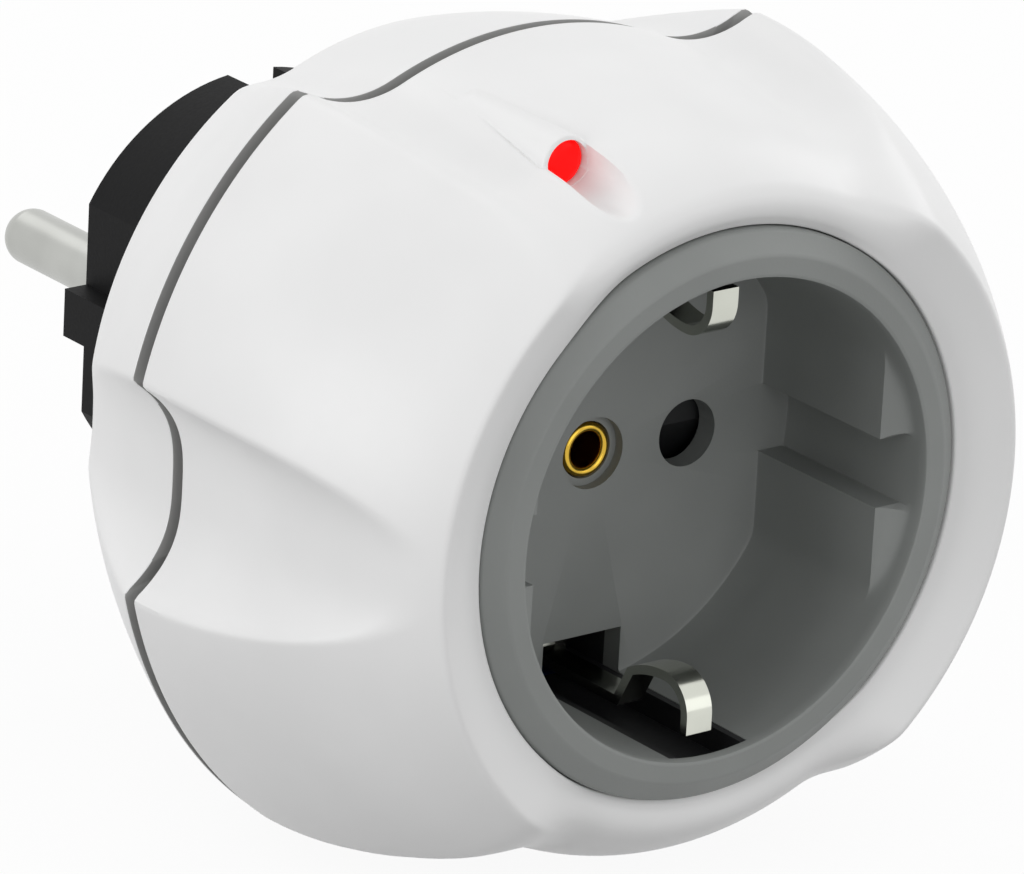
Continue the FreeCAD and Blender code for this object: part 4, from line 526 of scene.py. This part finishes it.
def face_outward(mesh):
    """Turn every face round if the mesh is inside out, which its signed volume tells."""
    shape = bmesh.new()
    shape.from_mesh(mesh)
    if shape.calc_volume(signed=True) < 0:
        bmesh.ops.reverse_faces(shape, faces=shape.faces)
        shape.to_mesh(mesh)
    shape.free()
    mesh.update()


def new_piece(name, mesh, material=None, sharp=32.0):
    """Put a mesh in the scene at the origin, smooth but for edges sharper than an angle."""
    piece = bpy.data.objects.new(name, mesh)
    bpy.context.scene.collection.objects.link(piece)
    finish_piece(piece, material, sharp)
    return piece


def finish_piece(piece, material=None, sharp=32.0):
    mesh = piece.data
    if material is not None:
        mesh.materials.clear()
        mesh.materials.append(material)
    mesh.shade_smooth()
    mesh.set_sharp_from_angle(angle=math.radians(sharp))
    return piece


def turned_mesh(name, profile, x=0.0, z=0.0, sides=48):
    """A closed lathe mesh about a line parallel to Y: profile points are (radius, depth), a closed loop
    for a ring, or a run from axis to axis for a solid."""
    solid = profile[0][0] == 0
    shape = bmesh.new()
    rings = []
    for radius, depth in profile:
        y = (depth - BODY_DEPTH) * MM
        if radius == 0:
            rings.append([shape.verts.new((x * MM, y, z * MM))])
            continue
        ring = []
        for i in range(sides):
            turn = 2 * math.pi * i / sides
            place = ((x + radius * math.cos(turn)) * MM, y, (z + radius * math.sin(turn)) * MM)
            ring.append(shape.verts.new(place))
        rings.append(ring)
    pairs = list(zip(rings, rings[1:]))
    if not solid:
        pairs.append((rings[-1], rings[0]))
    for one, two in pairs:
        for i in range(sides):
            j = (i + 1) % sides
            corners = [one[i % len(one)], one[j % len(one)], two[j % len(two)], two[i % len(two)]]
            corners = list(dict.fromkeys(corners))
            shape.faces.new(corners)
    bmesh.ops.recalc_face_normals(shape, faces=shape.faces)
    mesh = bpy.data.meshes.new(name)
    shape.to_mesh(mesh)
    shape.free()
    face_outward(mesh)
    return mesh


def box_mesh(name, x, depth, z):
    """A box between two values of X, depth and Z, in millimetres."""
    shape = bmesh.new()
    bmesh.ops.create_cube(shape, size=1.0)
    low = Vector((x[0], depth[0] - BODY_DEPTH, z[0])) * MM
    high = Vector((x[1], depth[1] - BODY_DEPTH, z[1])) * MM
    for vert in shape.verts:
        vert.co = Vector(low[i] if vert.co[i] < 0 else high[i] for i in range(3))
    mesh = bpy.data.meshes.new(name)
    shape.to_mesh(mesh)
    shape.free()
    face_outward(mesh)
    return mesh


def cut_away(piece, tools):
    """Cut closed meshes out of a piece with exact booleans, and delete them."""
    for mesh in tools:
        tool = bpy.data.objects.new(mesh.name, mesh)
        bpy.context.scene.collection.objects.link(tool)
        step = piece.modifiers.new("cut", "BOOLEAN")
        step.operation = "DIFFERENCE"
        step.solver = "EXACT"
        step.object = tool
        graph = bpy.context.evaluated_depsgraph_get()
        result = bpy.data.meshes.new_from_object(piece.evaluated_get(graph), depsgraph=graph)
        piece.modifiers.remove(step)
        piece.data = result
        bpy.data.objects.remove(tool)
        bpy.data.meshes.remove(mesh)
    return piece


def join_meshes(piece, meshes):
    """Add closed meshes to a piece's own mesh."""
    shape = bmesh.new()
    shape.from_mesh(piece.data)
    for mesh in meshes:
        shape.from_mesh(mesh)
        bpy.data.meshes.remove(mesh)
    shape.to_mesh(piece.data)
    shape.free()
    return piece


POST = 18.6
POSTS = [(x * POST, z * POST) for x, z in ((1, 1), (-1, 1), (-1, -1), (1, -1))]
SEAM_ROUND = 0.12
LIP_ROUND = 0.26


def paint_seam_shade(piece, low, high):
    """Give a second, grey material to the faces that line the seam between two depths: painted shade in the
    gap between the shells.
    """
    mesh = piece.data
    mesh.materials.append(SEAM_SHADE_GREY)
    for face in mesh.polygons:
        depth = face.center.y / MM + BODY_DEPTH
        along = abs(face.normal.y)
        reach = math.hypot(face.center.x, face.center.z) / MM
        inward = face.normal.x * face.center.x + face.normal.z * face.center.z < 0
        if low < depth < high and (along > 0.85 or inward or reach < 30.3):
            face.material_index = 1


# %% [markdown]
# ## The front shell
# The net starts at the lip round the collar, runs forward up the slope to the crest, back along the
# side to the gap, round its edge and forward again inside, 2.4 mm below the skin. Rows lie close where
# the lamp's hood is, and so do the columns, since its rounds are only a third of a millimetre wide.


# %% Front shell
def shell_columns(coarse, stretches):
    """Angles round the axis, closer together in stretches of (from, to, step)."""
    angles = np.arange(0, 360, coarse)
    for start, end, fine in stretches:
        angles = angles[(angles < start - coarse / 4) | (angles > end + coarse / 4)]
        angles = np.concatenate([angles, np.arange(start, end + fine / 2, fine)])
    return np.radians(np.sort(angles))


def front_outside(turn):
    """Rows from the lip to the gap."""
    base = []
    aim = []
    ahead = np.concatenate([run(LIP[0] + LIP_ROUND, BROW[0], 6), run(BROW[0], CREST[0], 24)])
    for r in ahead:
        if r < BROW[0]:
            d = NOSE[1] - math.sqrt(NOSE_BOW ** 2 - (r - NOSE[0]) ** 2)
        else:
            d = DOME[1] - math.sqrt(DOME_BOW ** 2 - (r - DOME[0]) ** 2)
        tilt = math.radians(-90 + 30 * max(0.0, (r - BROW[0]) / (CREST[0] - BROW[0])))
        base.append((r, d))
        aim.append((math.cos(tilt), math.sin(tilt)))
    first = math.atan2(-math.sqrt(DOME_BOW ** 2 - (CREST[0] - DOME[0]) ** 2), CREST[0] - DOME[0])
    last = math.atan2(SHOULDER[1] - DOME[1], SHOULDER[0] - DOME[0])
    for share in np.concatenate([run(0, 0.12, 4), run(0.12, 1, 20)]):
        angle = first + (last - first) * share
        swing = math.radians(-60 + 36 * (1 - (1 - share) ** 2.2))
        base.append((DOME[0] + DOME_BOW * math.cos(angle), DOME[1] + DOME_BOW * math.sin(angle)))
        aim.append((math.cos(swing), math.sin(swing)))
    for d in np.concatenate([run(SHOULDER[1], 9.2, 3), run(9.2, 11.6, 22), run(11.6, SPLIT - SEAM_ROUND, 36),
                             [SPLIT - SEAM_ROUND]]):
        r = SIDE[0] + math.sqrt(SIDE_BOW ** 2 - (d - SIDE[1]) ** 2)
        swing = math.radians(-24 * max(0.0, (SPLIT - d) / (SPLIT - SHOULDER[1])) ** 1.2)
        base.append((r, d))
        aim.append((math.cos(swing), math.sin(swing)))
    return find_skin(front_field, np.array(base), np.array(aim), turn)


def front_inside(turn):
    """Rows from the gap forward to the shelf round the collar, a wall's thickness below the skin."""
    depths = np.array([SPLIT, 25.5, 23.0, 20.0, 17.5, 15.5, 14.0, 12.0, 10.0, 8.5])
    base = np.array([(CORE, d) for d in depths])
    radius, depth = find_skin(front_field, base, straight_out(len(depths)), turn, level=-WALL, low=-6)
    core = np.array([[SIDE[0] + math.sqrt((SIDE_BOW - WALL) ** 2 - (d - SIDE[1]) ** 2)] for d in depths])
    radius = core + (np.maximum(radius, core) - core) * ease(8.5, 12.0, depth)
    inner_bow = DOME_BOW - WALL
    angles = np.linspace(math.atan2(SHOULDER[1] - DOME[1], SHOULDER[0] - DOME[0]),
                         math.asin((SHELF - DOME[1]) / inner_bow), 5)
    pairs = [(DOME[0] + inner_bow * math.cos(a), DOME[1] + inner_bow * math.sin(a)) for a in angles]
    more_radius, more_depth = flat_rows(pairs, len(turn))
    radius = np.concatenate([radius, more_radius])
    depth = np.concatenate([depth, more_depth])
    across = radius * (np.cos(turn) * LAMP_ACROSS[0] + np.sin(turn) * LAMP_ACROSS[1])
    boss = (np.abs(across) < LAMP_BOSS) & (depth < 13.1) & (depth > 3.5) & (np.sin(turn) > 0)
    lower = LAMP_REACH - np.sqrt(np.maximum(LAMP_BOSS ** 2 - across ** 2, 0))
    return np.where(boss, np.minimum(radius, lower), radius), depth


def front_net(turn):
    outside = front_outside(turn)
    lip = [(outside[0][:1] - LIP_ROUND * math.sin(a), outside[1][:1] + LIP_ROUND * (1 - math.cos(a)))
           for a in (math.pi / 2, math.pi / 3, math.pi / 6)]
    edge = [(outside[0][-1:] - SEAM_ROUND * (1 - math.cos(a)),
             np.full((1, len(turn)), SPLIT - SEAM_ROUND * (1 - math.sin(a))))
            for a in (math.pi / 4, math.pi / 2)]
    shelf = [(24.6, SHELF), (LIP[0], SHELF), (LIP[0], 2.9)]
    parts = [*lip, outside, *edge, front_inside(turn), flat_rows(shelf, len(turn))]
    return np.concatenate([p[0] for p in parts]), np.concatenate([p[1] for p in parts])


def post_mesh(name, x, z, start, end, radius, bore, bore_start):
    """A screw post with a blind hole from its rear end."""
    profile = [(0, start), (radius, start), (radius, end), (bore, end), (bore, bore_start), (0, bore_start)]
    return turned_mesh(name, profile, x, z, 32)


turn = shell_columns(0.7, [(103.5, 116.5, 0.18), (164.0, 196.0, 0.4)])
front_piece = new_piece("front_shell_skin", net_mesh("front_shell_skin", *front_net(turn), turn))
lamp_x, lamp_z = LAMP_REACH * LAMP_OUT[0], LAMP_REACH * LAMP_OUT[1]
lamp_hole = [(0, 9.2), (LENS, 9.2), (LENS, 15.0), (0, 15.0)]
cut_away(front_piece, [turned_mesh("lamp_hole", lamp_hole, lamp_x, lamp_z, 40)])
join_meshes(front_piece, [post_mesh("front_post", x, z, 2.6, 30.05, 2.6, 1.5, 21.8) for x, z in POSTS])
finish_piece(front_piece, HOUSING_WHITE)
paint_seam_shade(front_piece, 17.0, SPLIT + 0.1)
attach(front_piece, "housing")
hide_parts("front_shell")
print("front shell faces:", len(front_piece.data.polygons))

# %% [markdown]
# ## The rear shell
# It is one net as well: tongue, front edge, side, rim, rear plate, opening for the plug body and the
# inside. Screw ways and head pockets are cut afterwards, since a hole across a net's rows has no row of
# its own.


# %% Rear shell
def rear_base(depths):
    """Points on the rear core's profile."""
    return np.array([(REAR_CORE[0] + math.sqrt(REAR_CORE_BOW ** 2 - (d - REAR_CORE[1]) ** 2), d)
                     for d in depths])


def rear_net(turn):
    """Rows along the tongue, the front edge, the side, the rim, the plate, its opening and the inside."""
    tongue_out = 30.02
    tongue_in = tongue_out - 1.5
    opening = 18.4
    plate = RIM - WALL
    depths = np.concatenate([run(REAR_EDGE + SEAM_ROUND, RIM - 0.5, 30), [RIM - 0.5]])
    outside = find_skin(rear_field, rear_base(depths), straight_out(len(depths)), turn, low=-6)
    ones = np.ones((1, len(turn)))
    front = [(outside[0][:1] - SEAM_ROUND * (1 - math.cos(a)),
              ones * (REAR_EDGE + SEAM_ROUND * (1 - math.sin(a)))) for a in (math.pi / 2, math.pi / 4)]
    rim = [(outside[0][-1:] - 0.15 - 0.5 * (1 - math.cos(a)), ones * (RIM - 0.5 + 0.5 * math.sin(a)))
           for a in (math.pi / 6, math.pi / 3, math.pi / 2)]
    plate_rows = flat_rows([(25.0, RIM), (opening + 0.2, RIM), (opening, RIM - 0.2), (opening, plate)],
                           len(turn))
    inner_depths = np.linspace(plate, REAR_EDGE + 2.5, 12)
    inner = find_skin(rear_field, rear_base(inner_depths), straight_out(len(inner_depths)), turn,
                      level=-WALL, low=-8)
    core = np.sqrt((REAR_CORE_BOW - WALL) ** 2 - (inner[1] - REAR_CORE[1]) ** 2) + REAR_CORE[0]
    deep = core + (np.maximum(inner[0], core) - core) * ease(REAR_EDGE + 2.5, REAR_EDGE + 5.5, inner[1])
    tongue_end = REAR_EDGE - 2.8
    tongue = flat_rows([(tongue_in, REAR_EDGE + 0.8), (tongue_in, REAR_EDGE - 2.6),
                        (tongue_in + 0.2, tongue_end), (tongue_out - 0.2, tongue_end),
                        (tongue_out, REAR_EDGE - 2.6), (tongue_out, REAR_EDGE)], len(turn))
    parts = [tongue, *front, outside, *rim, plate_rows, (deep, inner[1])]
    return np.concatenate([p[0] for p in parts]), np.concatenate([p[1] for p in parts])


turn = shell_columns(0.6, [(164.0, 196.0, 0.4)])
rear_piece = new_piece("rear_shell_skin", net_mesh("rear_shell_skin", *rear_net(turn), turn))
notch = [(0, 24.0), (2.9, 24.0), (2.9, 30.05), (0, 30.05)]
cut_away(rear_piece, [turned_mesh("tongue_notch", notch, x, z, 40) for x, z in POSTS])
pocket = [(0, 41.0), (1.6, 41.0), (1.6, 42.2), (2.45, 42.2), (2.45, 45.0), (0, 45.0)]
cut_away(rear_piece, [turned_mesh("head_pocket", pocket, x, z, 40) for x, z in POSTS])
rear_post = [(2.8, 30.05), (2.8, 42.2), (1.6, 42.2), (1.6, 30.05)]
join_meshes(rear_piece, [turned_mesh("rear_post", rear_post, x, z, 32) for x, z in POSTS])
finish_piece(rear_piece, HOUSING_WHITE)
paint_seam_shade(rear_piece, 24.0, 36.0)
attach(rear_piece, "housing")
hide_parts("rear_shell")
print("rear shell faces:", len(rear_piece.data.polygons))

# %% [markdown]
# ## The socket insert
# The insert is one moulding: a collar, a cup with two flat guides, and a floor. It is a net as well. A
# groove's side wall needs no boolean, since two columns a degree apart, one on the guide and one on the
# round wall, leave exactly that wall between them. The guides' front ends run out in a hollow curve.


# %% Socket insert
WELL = 19.8
GUIDE = 17.04
GROOVE_HALF = 2.9


def insert_columns():
    """Angles every degree and a half, with a close pair at each side wall of the guide grooves."""
    low = math.degrees(math.asin(GROOVE_HALF / WELL))
    high = math.degrees(math.atan(GROOVE_HALF / GUIDE))
    plain = [a for a in np.arange(0, 90, 1.5) if not low - 0.4 < a < high + 0.4]
    quarter = sorted(plain + [low, high])
    half = quarter + [90.0] + [180.0 - a for a in reversed(quarter) if a > 0]
    return np.radians(sorted(half + [180.0] + [360.0 - a for a in half if a > 0]))


def insert_net(turn):
    count = len(turn)
    aside = np.abs(np.cos(turn))
    flat = smooth_min(np.full(count, WELL), GUIDE / np.maximum(aside, 0.01), 0.5)
    in_groove = np.abs(np.sin(turn)) * WELL < GROOVE_HALF + 0.01
    guide = np.where(in_groove & (aside > 0.5), WELL, np.where(aside > 0.5, flat, WELL))

    def row(radius, depth):
        return np.broadcast_to(radius, (1, count)), np.full((1, count), depth)

    collar = [(WELL, 0.3), (WELL + 0.09, 0.09), (WELL + 0.3, 0.0), (20.18, 0.0), (21.42, 0.0), (21.5, 0.0),
              (21.68, 0.05), (21.83, 0.15), (21.9, 0.2), (23.14, 1.04), (23.2, 1.08), (23.37, 1.24),
              (23.44, 1.5), (23.44, 4.2), (24.2, 4.2), (24.2, 6.2), (21.6, 6.2),
              (21.6, 19.5), (2.4, 19.5), (2.4, 18.4), (3.0, 18.4), (3.0, 17.5)]
    parts = [flat_rows(collar, count)]
    parts += [row(guide - 0.3, 17.5), row(guide - 0.09, 17.41), row(guide, 17.2)]
    parts += [row(guide, d) for d in np.linspace(14.0, 2.75, 5)]
    for i in range(6):
        angle = math.pi / 10 * i
        parts.append(row(guide + (WELL - guide) * math.sin(angle), 2.65 - 1.5 * (1 - math.cos(angle))))
    return np.concatenate([p[0] for p in parts]), np.concatenate([p[1] for p in parts])


def joined(name, meshes):
    """One mesh from several that don't touch."""
    shape = bmesh.new()
    for mesh in meshes:
        shape.from_mesh(mesh)
        bpy.data.meshes.remove(mesh)
    whole = bpy.data.meshes.new(name)
    shape.to_mesh(whole)
    shape.free()
    return whole


turn = insert_columns()
insert_piece = new_piece("socket_insert_skin", net_mesh("socket_insert_skin", *insert_net(turn), turn))
openings = []
windows = []
for side in (1, -1):
    openings.append(box_mesh("clip_slot", (-3.9, 3.9), (0.9, 20.5), sorted((15.5 * side, 22.1 * side))))
    windows.append(box_mesh("clip_window", (-3.9, 3.9), (6.2, 20.5), sorted((15.5 * side, 22.6 * side))))
    hole = [(0, 16.5), (2.825, 16.5), (2.825, 20.5), (0, 20.5)]
    openings.append(turned_mesh("pin_hole", hole, 9.5 * side, 0.0, 48))
    pilot = [(0, 17.9), (1.25, 17.9), (1.25, 20.5), (0, 20.5)]
    openings.append(turned_mesh("pilot_hole", pilot, 13.5 * side, 11.0 * side, 24))
notch = [(0, 3.6), (2.75, 3.6), (2.75, 6.8), (0, 6.8)]
openings += [turned_mesh("post_notch", notch, x, z, 24) for x, z in POSTS]
cut_away(insert_piece, [joined("openings", openings), joined("windows", windows)])
finish_piece(insert_piece, INSERT_GREY)
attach(insert_piece, "housing")
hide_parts("socket_insert")
print("insert faces:", len(insert_piece.data.polygons))

# %% [markdown]
# ## The bush and the lamp's lens
# The bush is a turned and polished sleeve, so its front end is a smooth round ring. The lens fills the
# hole under the hood. Both are lathe meshes, for which a Screw modifier on a drawn profile would do too.

# %% Bush and lens
bush_round = [(1.89 + 0.41 * math.cos(math.pi * i / 8), 18.61 - 0.41 * math.sin(math.pi * i / 8))
              for i in range(9)]
bush_profile = bush_round + [(1.48, 30.0), (3.2, 30.0), (3.2, 29.2), (2.3, 29.2)]
bush_piece = new_piece("centre_bush_skin", turned_mesh("centre_bush_skin", bush_profile, sides=64), BRASS)
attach(bush_piece, "housing")
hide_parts("centre_bush")

lens_edge = LENS - 0.02
lens_profile = [(0, 10.2), (0.8, 10.24), (1.4, 10.36), (1.78, 10.52), (lens_edge, 10.64),
                (lens_edge, 12.4), (1.4, 12.6), (0, 12.6)]
lens_mesh = turned_mesh("indicator_lamp_lens", lens_profile, lamp_x, lamp_z, 48)
lens_piece = new_piece("indicator_lamp_lens", lens_mesh, lamp_material, 40.0)
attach(lens_piece, "housing")

# %% [markdown]
# ## Screws at four posts
# Four equal screws hold the shells. Geometry Nodes puts one screw on the corners of a grid, so the
# spacing is one number. The thread is drawn as rings at the screw's pitch, since it is never seen closer.


# %% Screws
def thread_rings(radius, start, end, pitch, height):
    """Profile points of a thread's ridges, from start to end."""
    points = []
    for i in range(round((end - start) / pitch)):
        crest = start + pitch * (i + 0.5)
        points += [(radius - height, crest - pitch * 0.42), (radius, crest - pitch * 0.06),
                   (radius, crest + pitch * 0.06), (radius - height, crest + pitch * 0.42)]
    return points


def screw_mesh(name):
    """A pan head screw along Y about the origin, with a cross drive."""
    shank = thread_rings(1.45, 24.2, 39.5, 0.9, 0.22)
    head = [(1.3, 40.0), (1.3, 42.2), (2.25, 42.2), (2.3, 42.3), (2.3, 42.95), (2.15, 43.35), (1.8, 43.62),
            (1.2, 43.76), (0, 43.8)]
    return turned_mesh(name, [(0, 22.8), (0.5, 23.0), (1.0, 24.0)] + shank + head, sides=32)


def repeat_tree(name):
    """Copies of a part at the corners of a grid that stands across the object's depth."""
    tree = bpy.data.node_groups.new(name, "GeometryNodeTree")
    for label, kind in (("Part", "Object"), ("Spacing", "Float"), ("Material", "Material")):
        tree.interface.new_socket(name=label, in_out="INPUT", socket_type="NodeSocket" + kind)
    tree.interface.new_socket(name="Geometry", in_out="OUTPUT", socket_type="NodeSocketGeometry")
    given = add_node(tree, "NodeGroupInput").outputs
    grid = add_node(tree, "GeometryNodeMeshGrid", {"Size X": given["Spacing"], "Size Y": given["Spacing"],
                                                   "Vertices X": 2, "Vertices Y": 2})
    stood = add_node(tree, "GeometryNodeTransform", {"Geometry": grid.outputs["Mesh"],
                                                     "Rotation": (math.pi / 2, 0.0, 0.0)})
    part = add_node(tree, "GeometryNodeObjectInfo", {"Object": given["Part"]})
    placed = add_node(tree, "GeometryNodeInstanceOnPoints", {"Points": stood.outputs["Geometry"],
                                                             "Instance": part.outputs["Geometry"]})
    real = add_node(tree, "GeometryNodeRealizeInstances", {"Geometry": placed.outputs["Instances"]})
    coated = add_node(tree, "GeometryNodeSetMaterial", {"Geometry": real.outputs["Geometry"],
                                                        "Material": given["Material"]})
    add_node(tree, "NodeGroupOutput", {"Geometry": coated.outputs["Geometry"]})
    return tree


def repeated(name, part, spacing, material):
    """Run the repeating tree once and keep its result as a plain piece."""
    tree = repeat_tree(name + "_repeat")
    piece = bpy.data.objects.new(name, bpy.data.meshes.new(name + "_start"))
    bpy.context.scene.collection.objects.link(piece)
    step = piece.modifiers.new("repeat", "NODES")
    step.node_group = tree
    sockets = {item.name: item.identifier for item in tree.interface.items_tree if item.in_out == "INPUT"}
    step[sockets["Part"]] = part
    step[sockets["Spacing"]] = spacing
    step[sockets["Material"]] = material
    graph = bpy.context.evaluated_depsgraph_get()
    mesh = bpy.data.meshes.new_from_object(piece.evaluated_get(graph), depsgraph=graph)
    piece.modifiers.remove(step)
    piece.data = mesh
    bpy.data.objects.remove(part)
    return finish_piece(piece)


one_screw = new_piece("one_screw", screw_mesh("one_screw"))
cut_away(one_screw, [box_mesh("drive_across", (-1.35, 1.35), (42.75, 45.0), (-0.26, 0.26))])
cut_away(one_screw, [box_mesh("drive_up", (-0.26, 0.26), (42.75, 45.0), (-1.35, 1.35))])
screws_piece = repeated("housing_screws_turned", one_screw, 2 * POST * MM, ZINC_STEEL)
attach(screws_piece, "housing")
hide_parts("housing_screws")
print("screw faces:", len(screws_piece.data.polygons))

# %% [markdown]
# ## The studio
# A small product is lit by big soft boxes, so that its edges get long smooth highlights. The backdrop
# is white to the camera only, and the floor keeps a faint shadow.


# %% Studio
def white_to_camera(tree, seen, other):
    """Use one shader for the camera, reflections and see-through rays, and another for all other rays."""
    path = add_node(tree, "ShaderNodeLightPath")
    first = add_node(tree, "ShaderNodeMath",
                     {0: path.outputs["Is Camera Ray"], 1: path.outputs["Is Glossy Ray"]}, operation="MAXIMUM")
    both = add_node(tree, "ShaderNodeMath", {0: first.outputs[0], 1: path.outputs["Is Transmission Ray"]},
                    operation="MAXIMUM")
    return add_node(tree, "ShaderNodeMixShader", {0: both.outputs[0], 1: other, 2: seen}).outputs[0]


world = bpy.data.worlds.new("studio")
bpy.context.scene.world = world
world.use_nodes = True
tree = world.node_tree
plain = add_node(tree, "ShaderNodeBackground", {"Color": linear("#FFFFFF"), "Strength": 1.0})
soft = add_node(tree, "ShaderNodeBackground", {"Color": linear("#FFFFFF"), "Strength": 0.67})
backdrop = white_to_camera(tree, plain.outputs[0], soft.outputs[0])
tree.links.new(backdrop, tree.nodes["World Output"].inputs["Surface"])


def soft_box(name, turn, rise, power, size=0.5, away=0.9):
    """A square area light that faces the part: turn goes from the front to the right, rise goes up."""
    turn, rise = math.radians(turn), math.radians(rise)
    aim = Vector((-math.sin(turn) * math.cos(rise), math.cos(turn) * math.cos(rise), -math.sin(rise)))
    place = Vector((0.0, -0.035, 0.0)) - aim * away
    data = bpy.data.lights.new(name, "AREA")
    data.shape = "SQUARE"
    data.size = size
    data.energy = power
    light = bpy.data.objects.new(name, data)
    bpy.context.scene.collection.objects.link(light)
    light.matrix_world = Matrix.Translation(place) @ aim.to_track_quat("-Z", "Y").to_matrix().to_4x4()


soft_box("top_box", 0, 89, 0.55)
soft_box("left_box", -90, 10, 2.35)
soft_box("right_box", 90, 30, 1.15)
soft_box("front_box", 0, 10, 0.8)
soft_box("near_right_box", 45, 10, 0.35)
soft_box("rear_box", 180, 45, 0.45)

floor_size = 3.0
floor_mesh = bpy.data.meshes.new("floor")
floor_level = cad_box[0][2]
corners = [(-floor_size, -floor_size, floor_level), (floor_size, -floor_size, floor_level),
           (floor_size, floor_size, floor_level), (-floor_size, floor_size, floor_level)]
floor_mesh.from_pydata(corners, [], [(0, 1, 2, 3)])
floor = bpy.data.objects.new("floor", floor_mesh)
bpy.context.scene.collection.objects.link(floor)
floor_material, tree, shader, _ = new_material("white_paper")
shader.inputs["Base Color"].default_value = linear("#F6F6F6")
shader.inputs["Roughness"].default_value = 0.8
glow = add_node(tree, "ShaderNodeEmission", {"Color": linear("#FFFFFF"), "Strength": 1.0})
mixed = add_node(tree, "ShaderNodeMixShader", {0: 0.93, 1: shader.outputs[0], 2: glow.outputs[0]})
card = add_node(tree, "ShaderNodeBsdfDiffuse", {"Color": linear("#A0A0A0")})
shown = white_to_camera(tree, mixed.outputs[0], card.outputs[0])
tree.links.new(shown, tree.nodes["Material Output"].inputs["Surface"])
floor_mesh.materials.append(floor_material)

bpy.context.scene.view_settings.view_transform = "Standard"
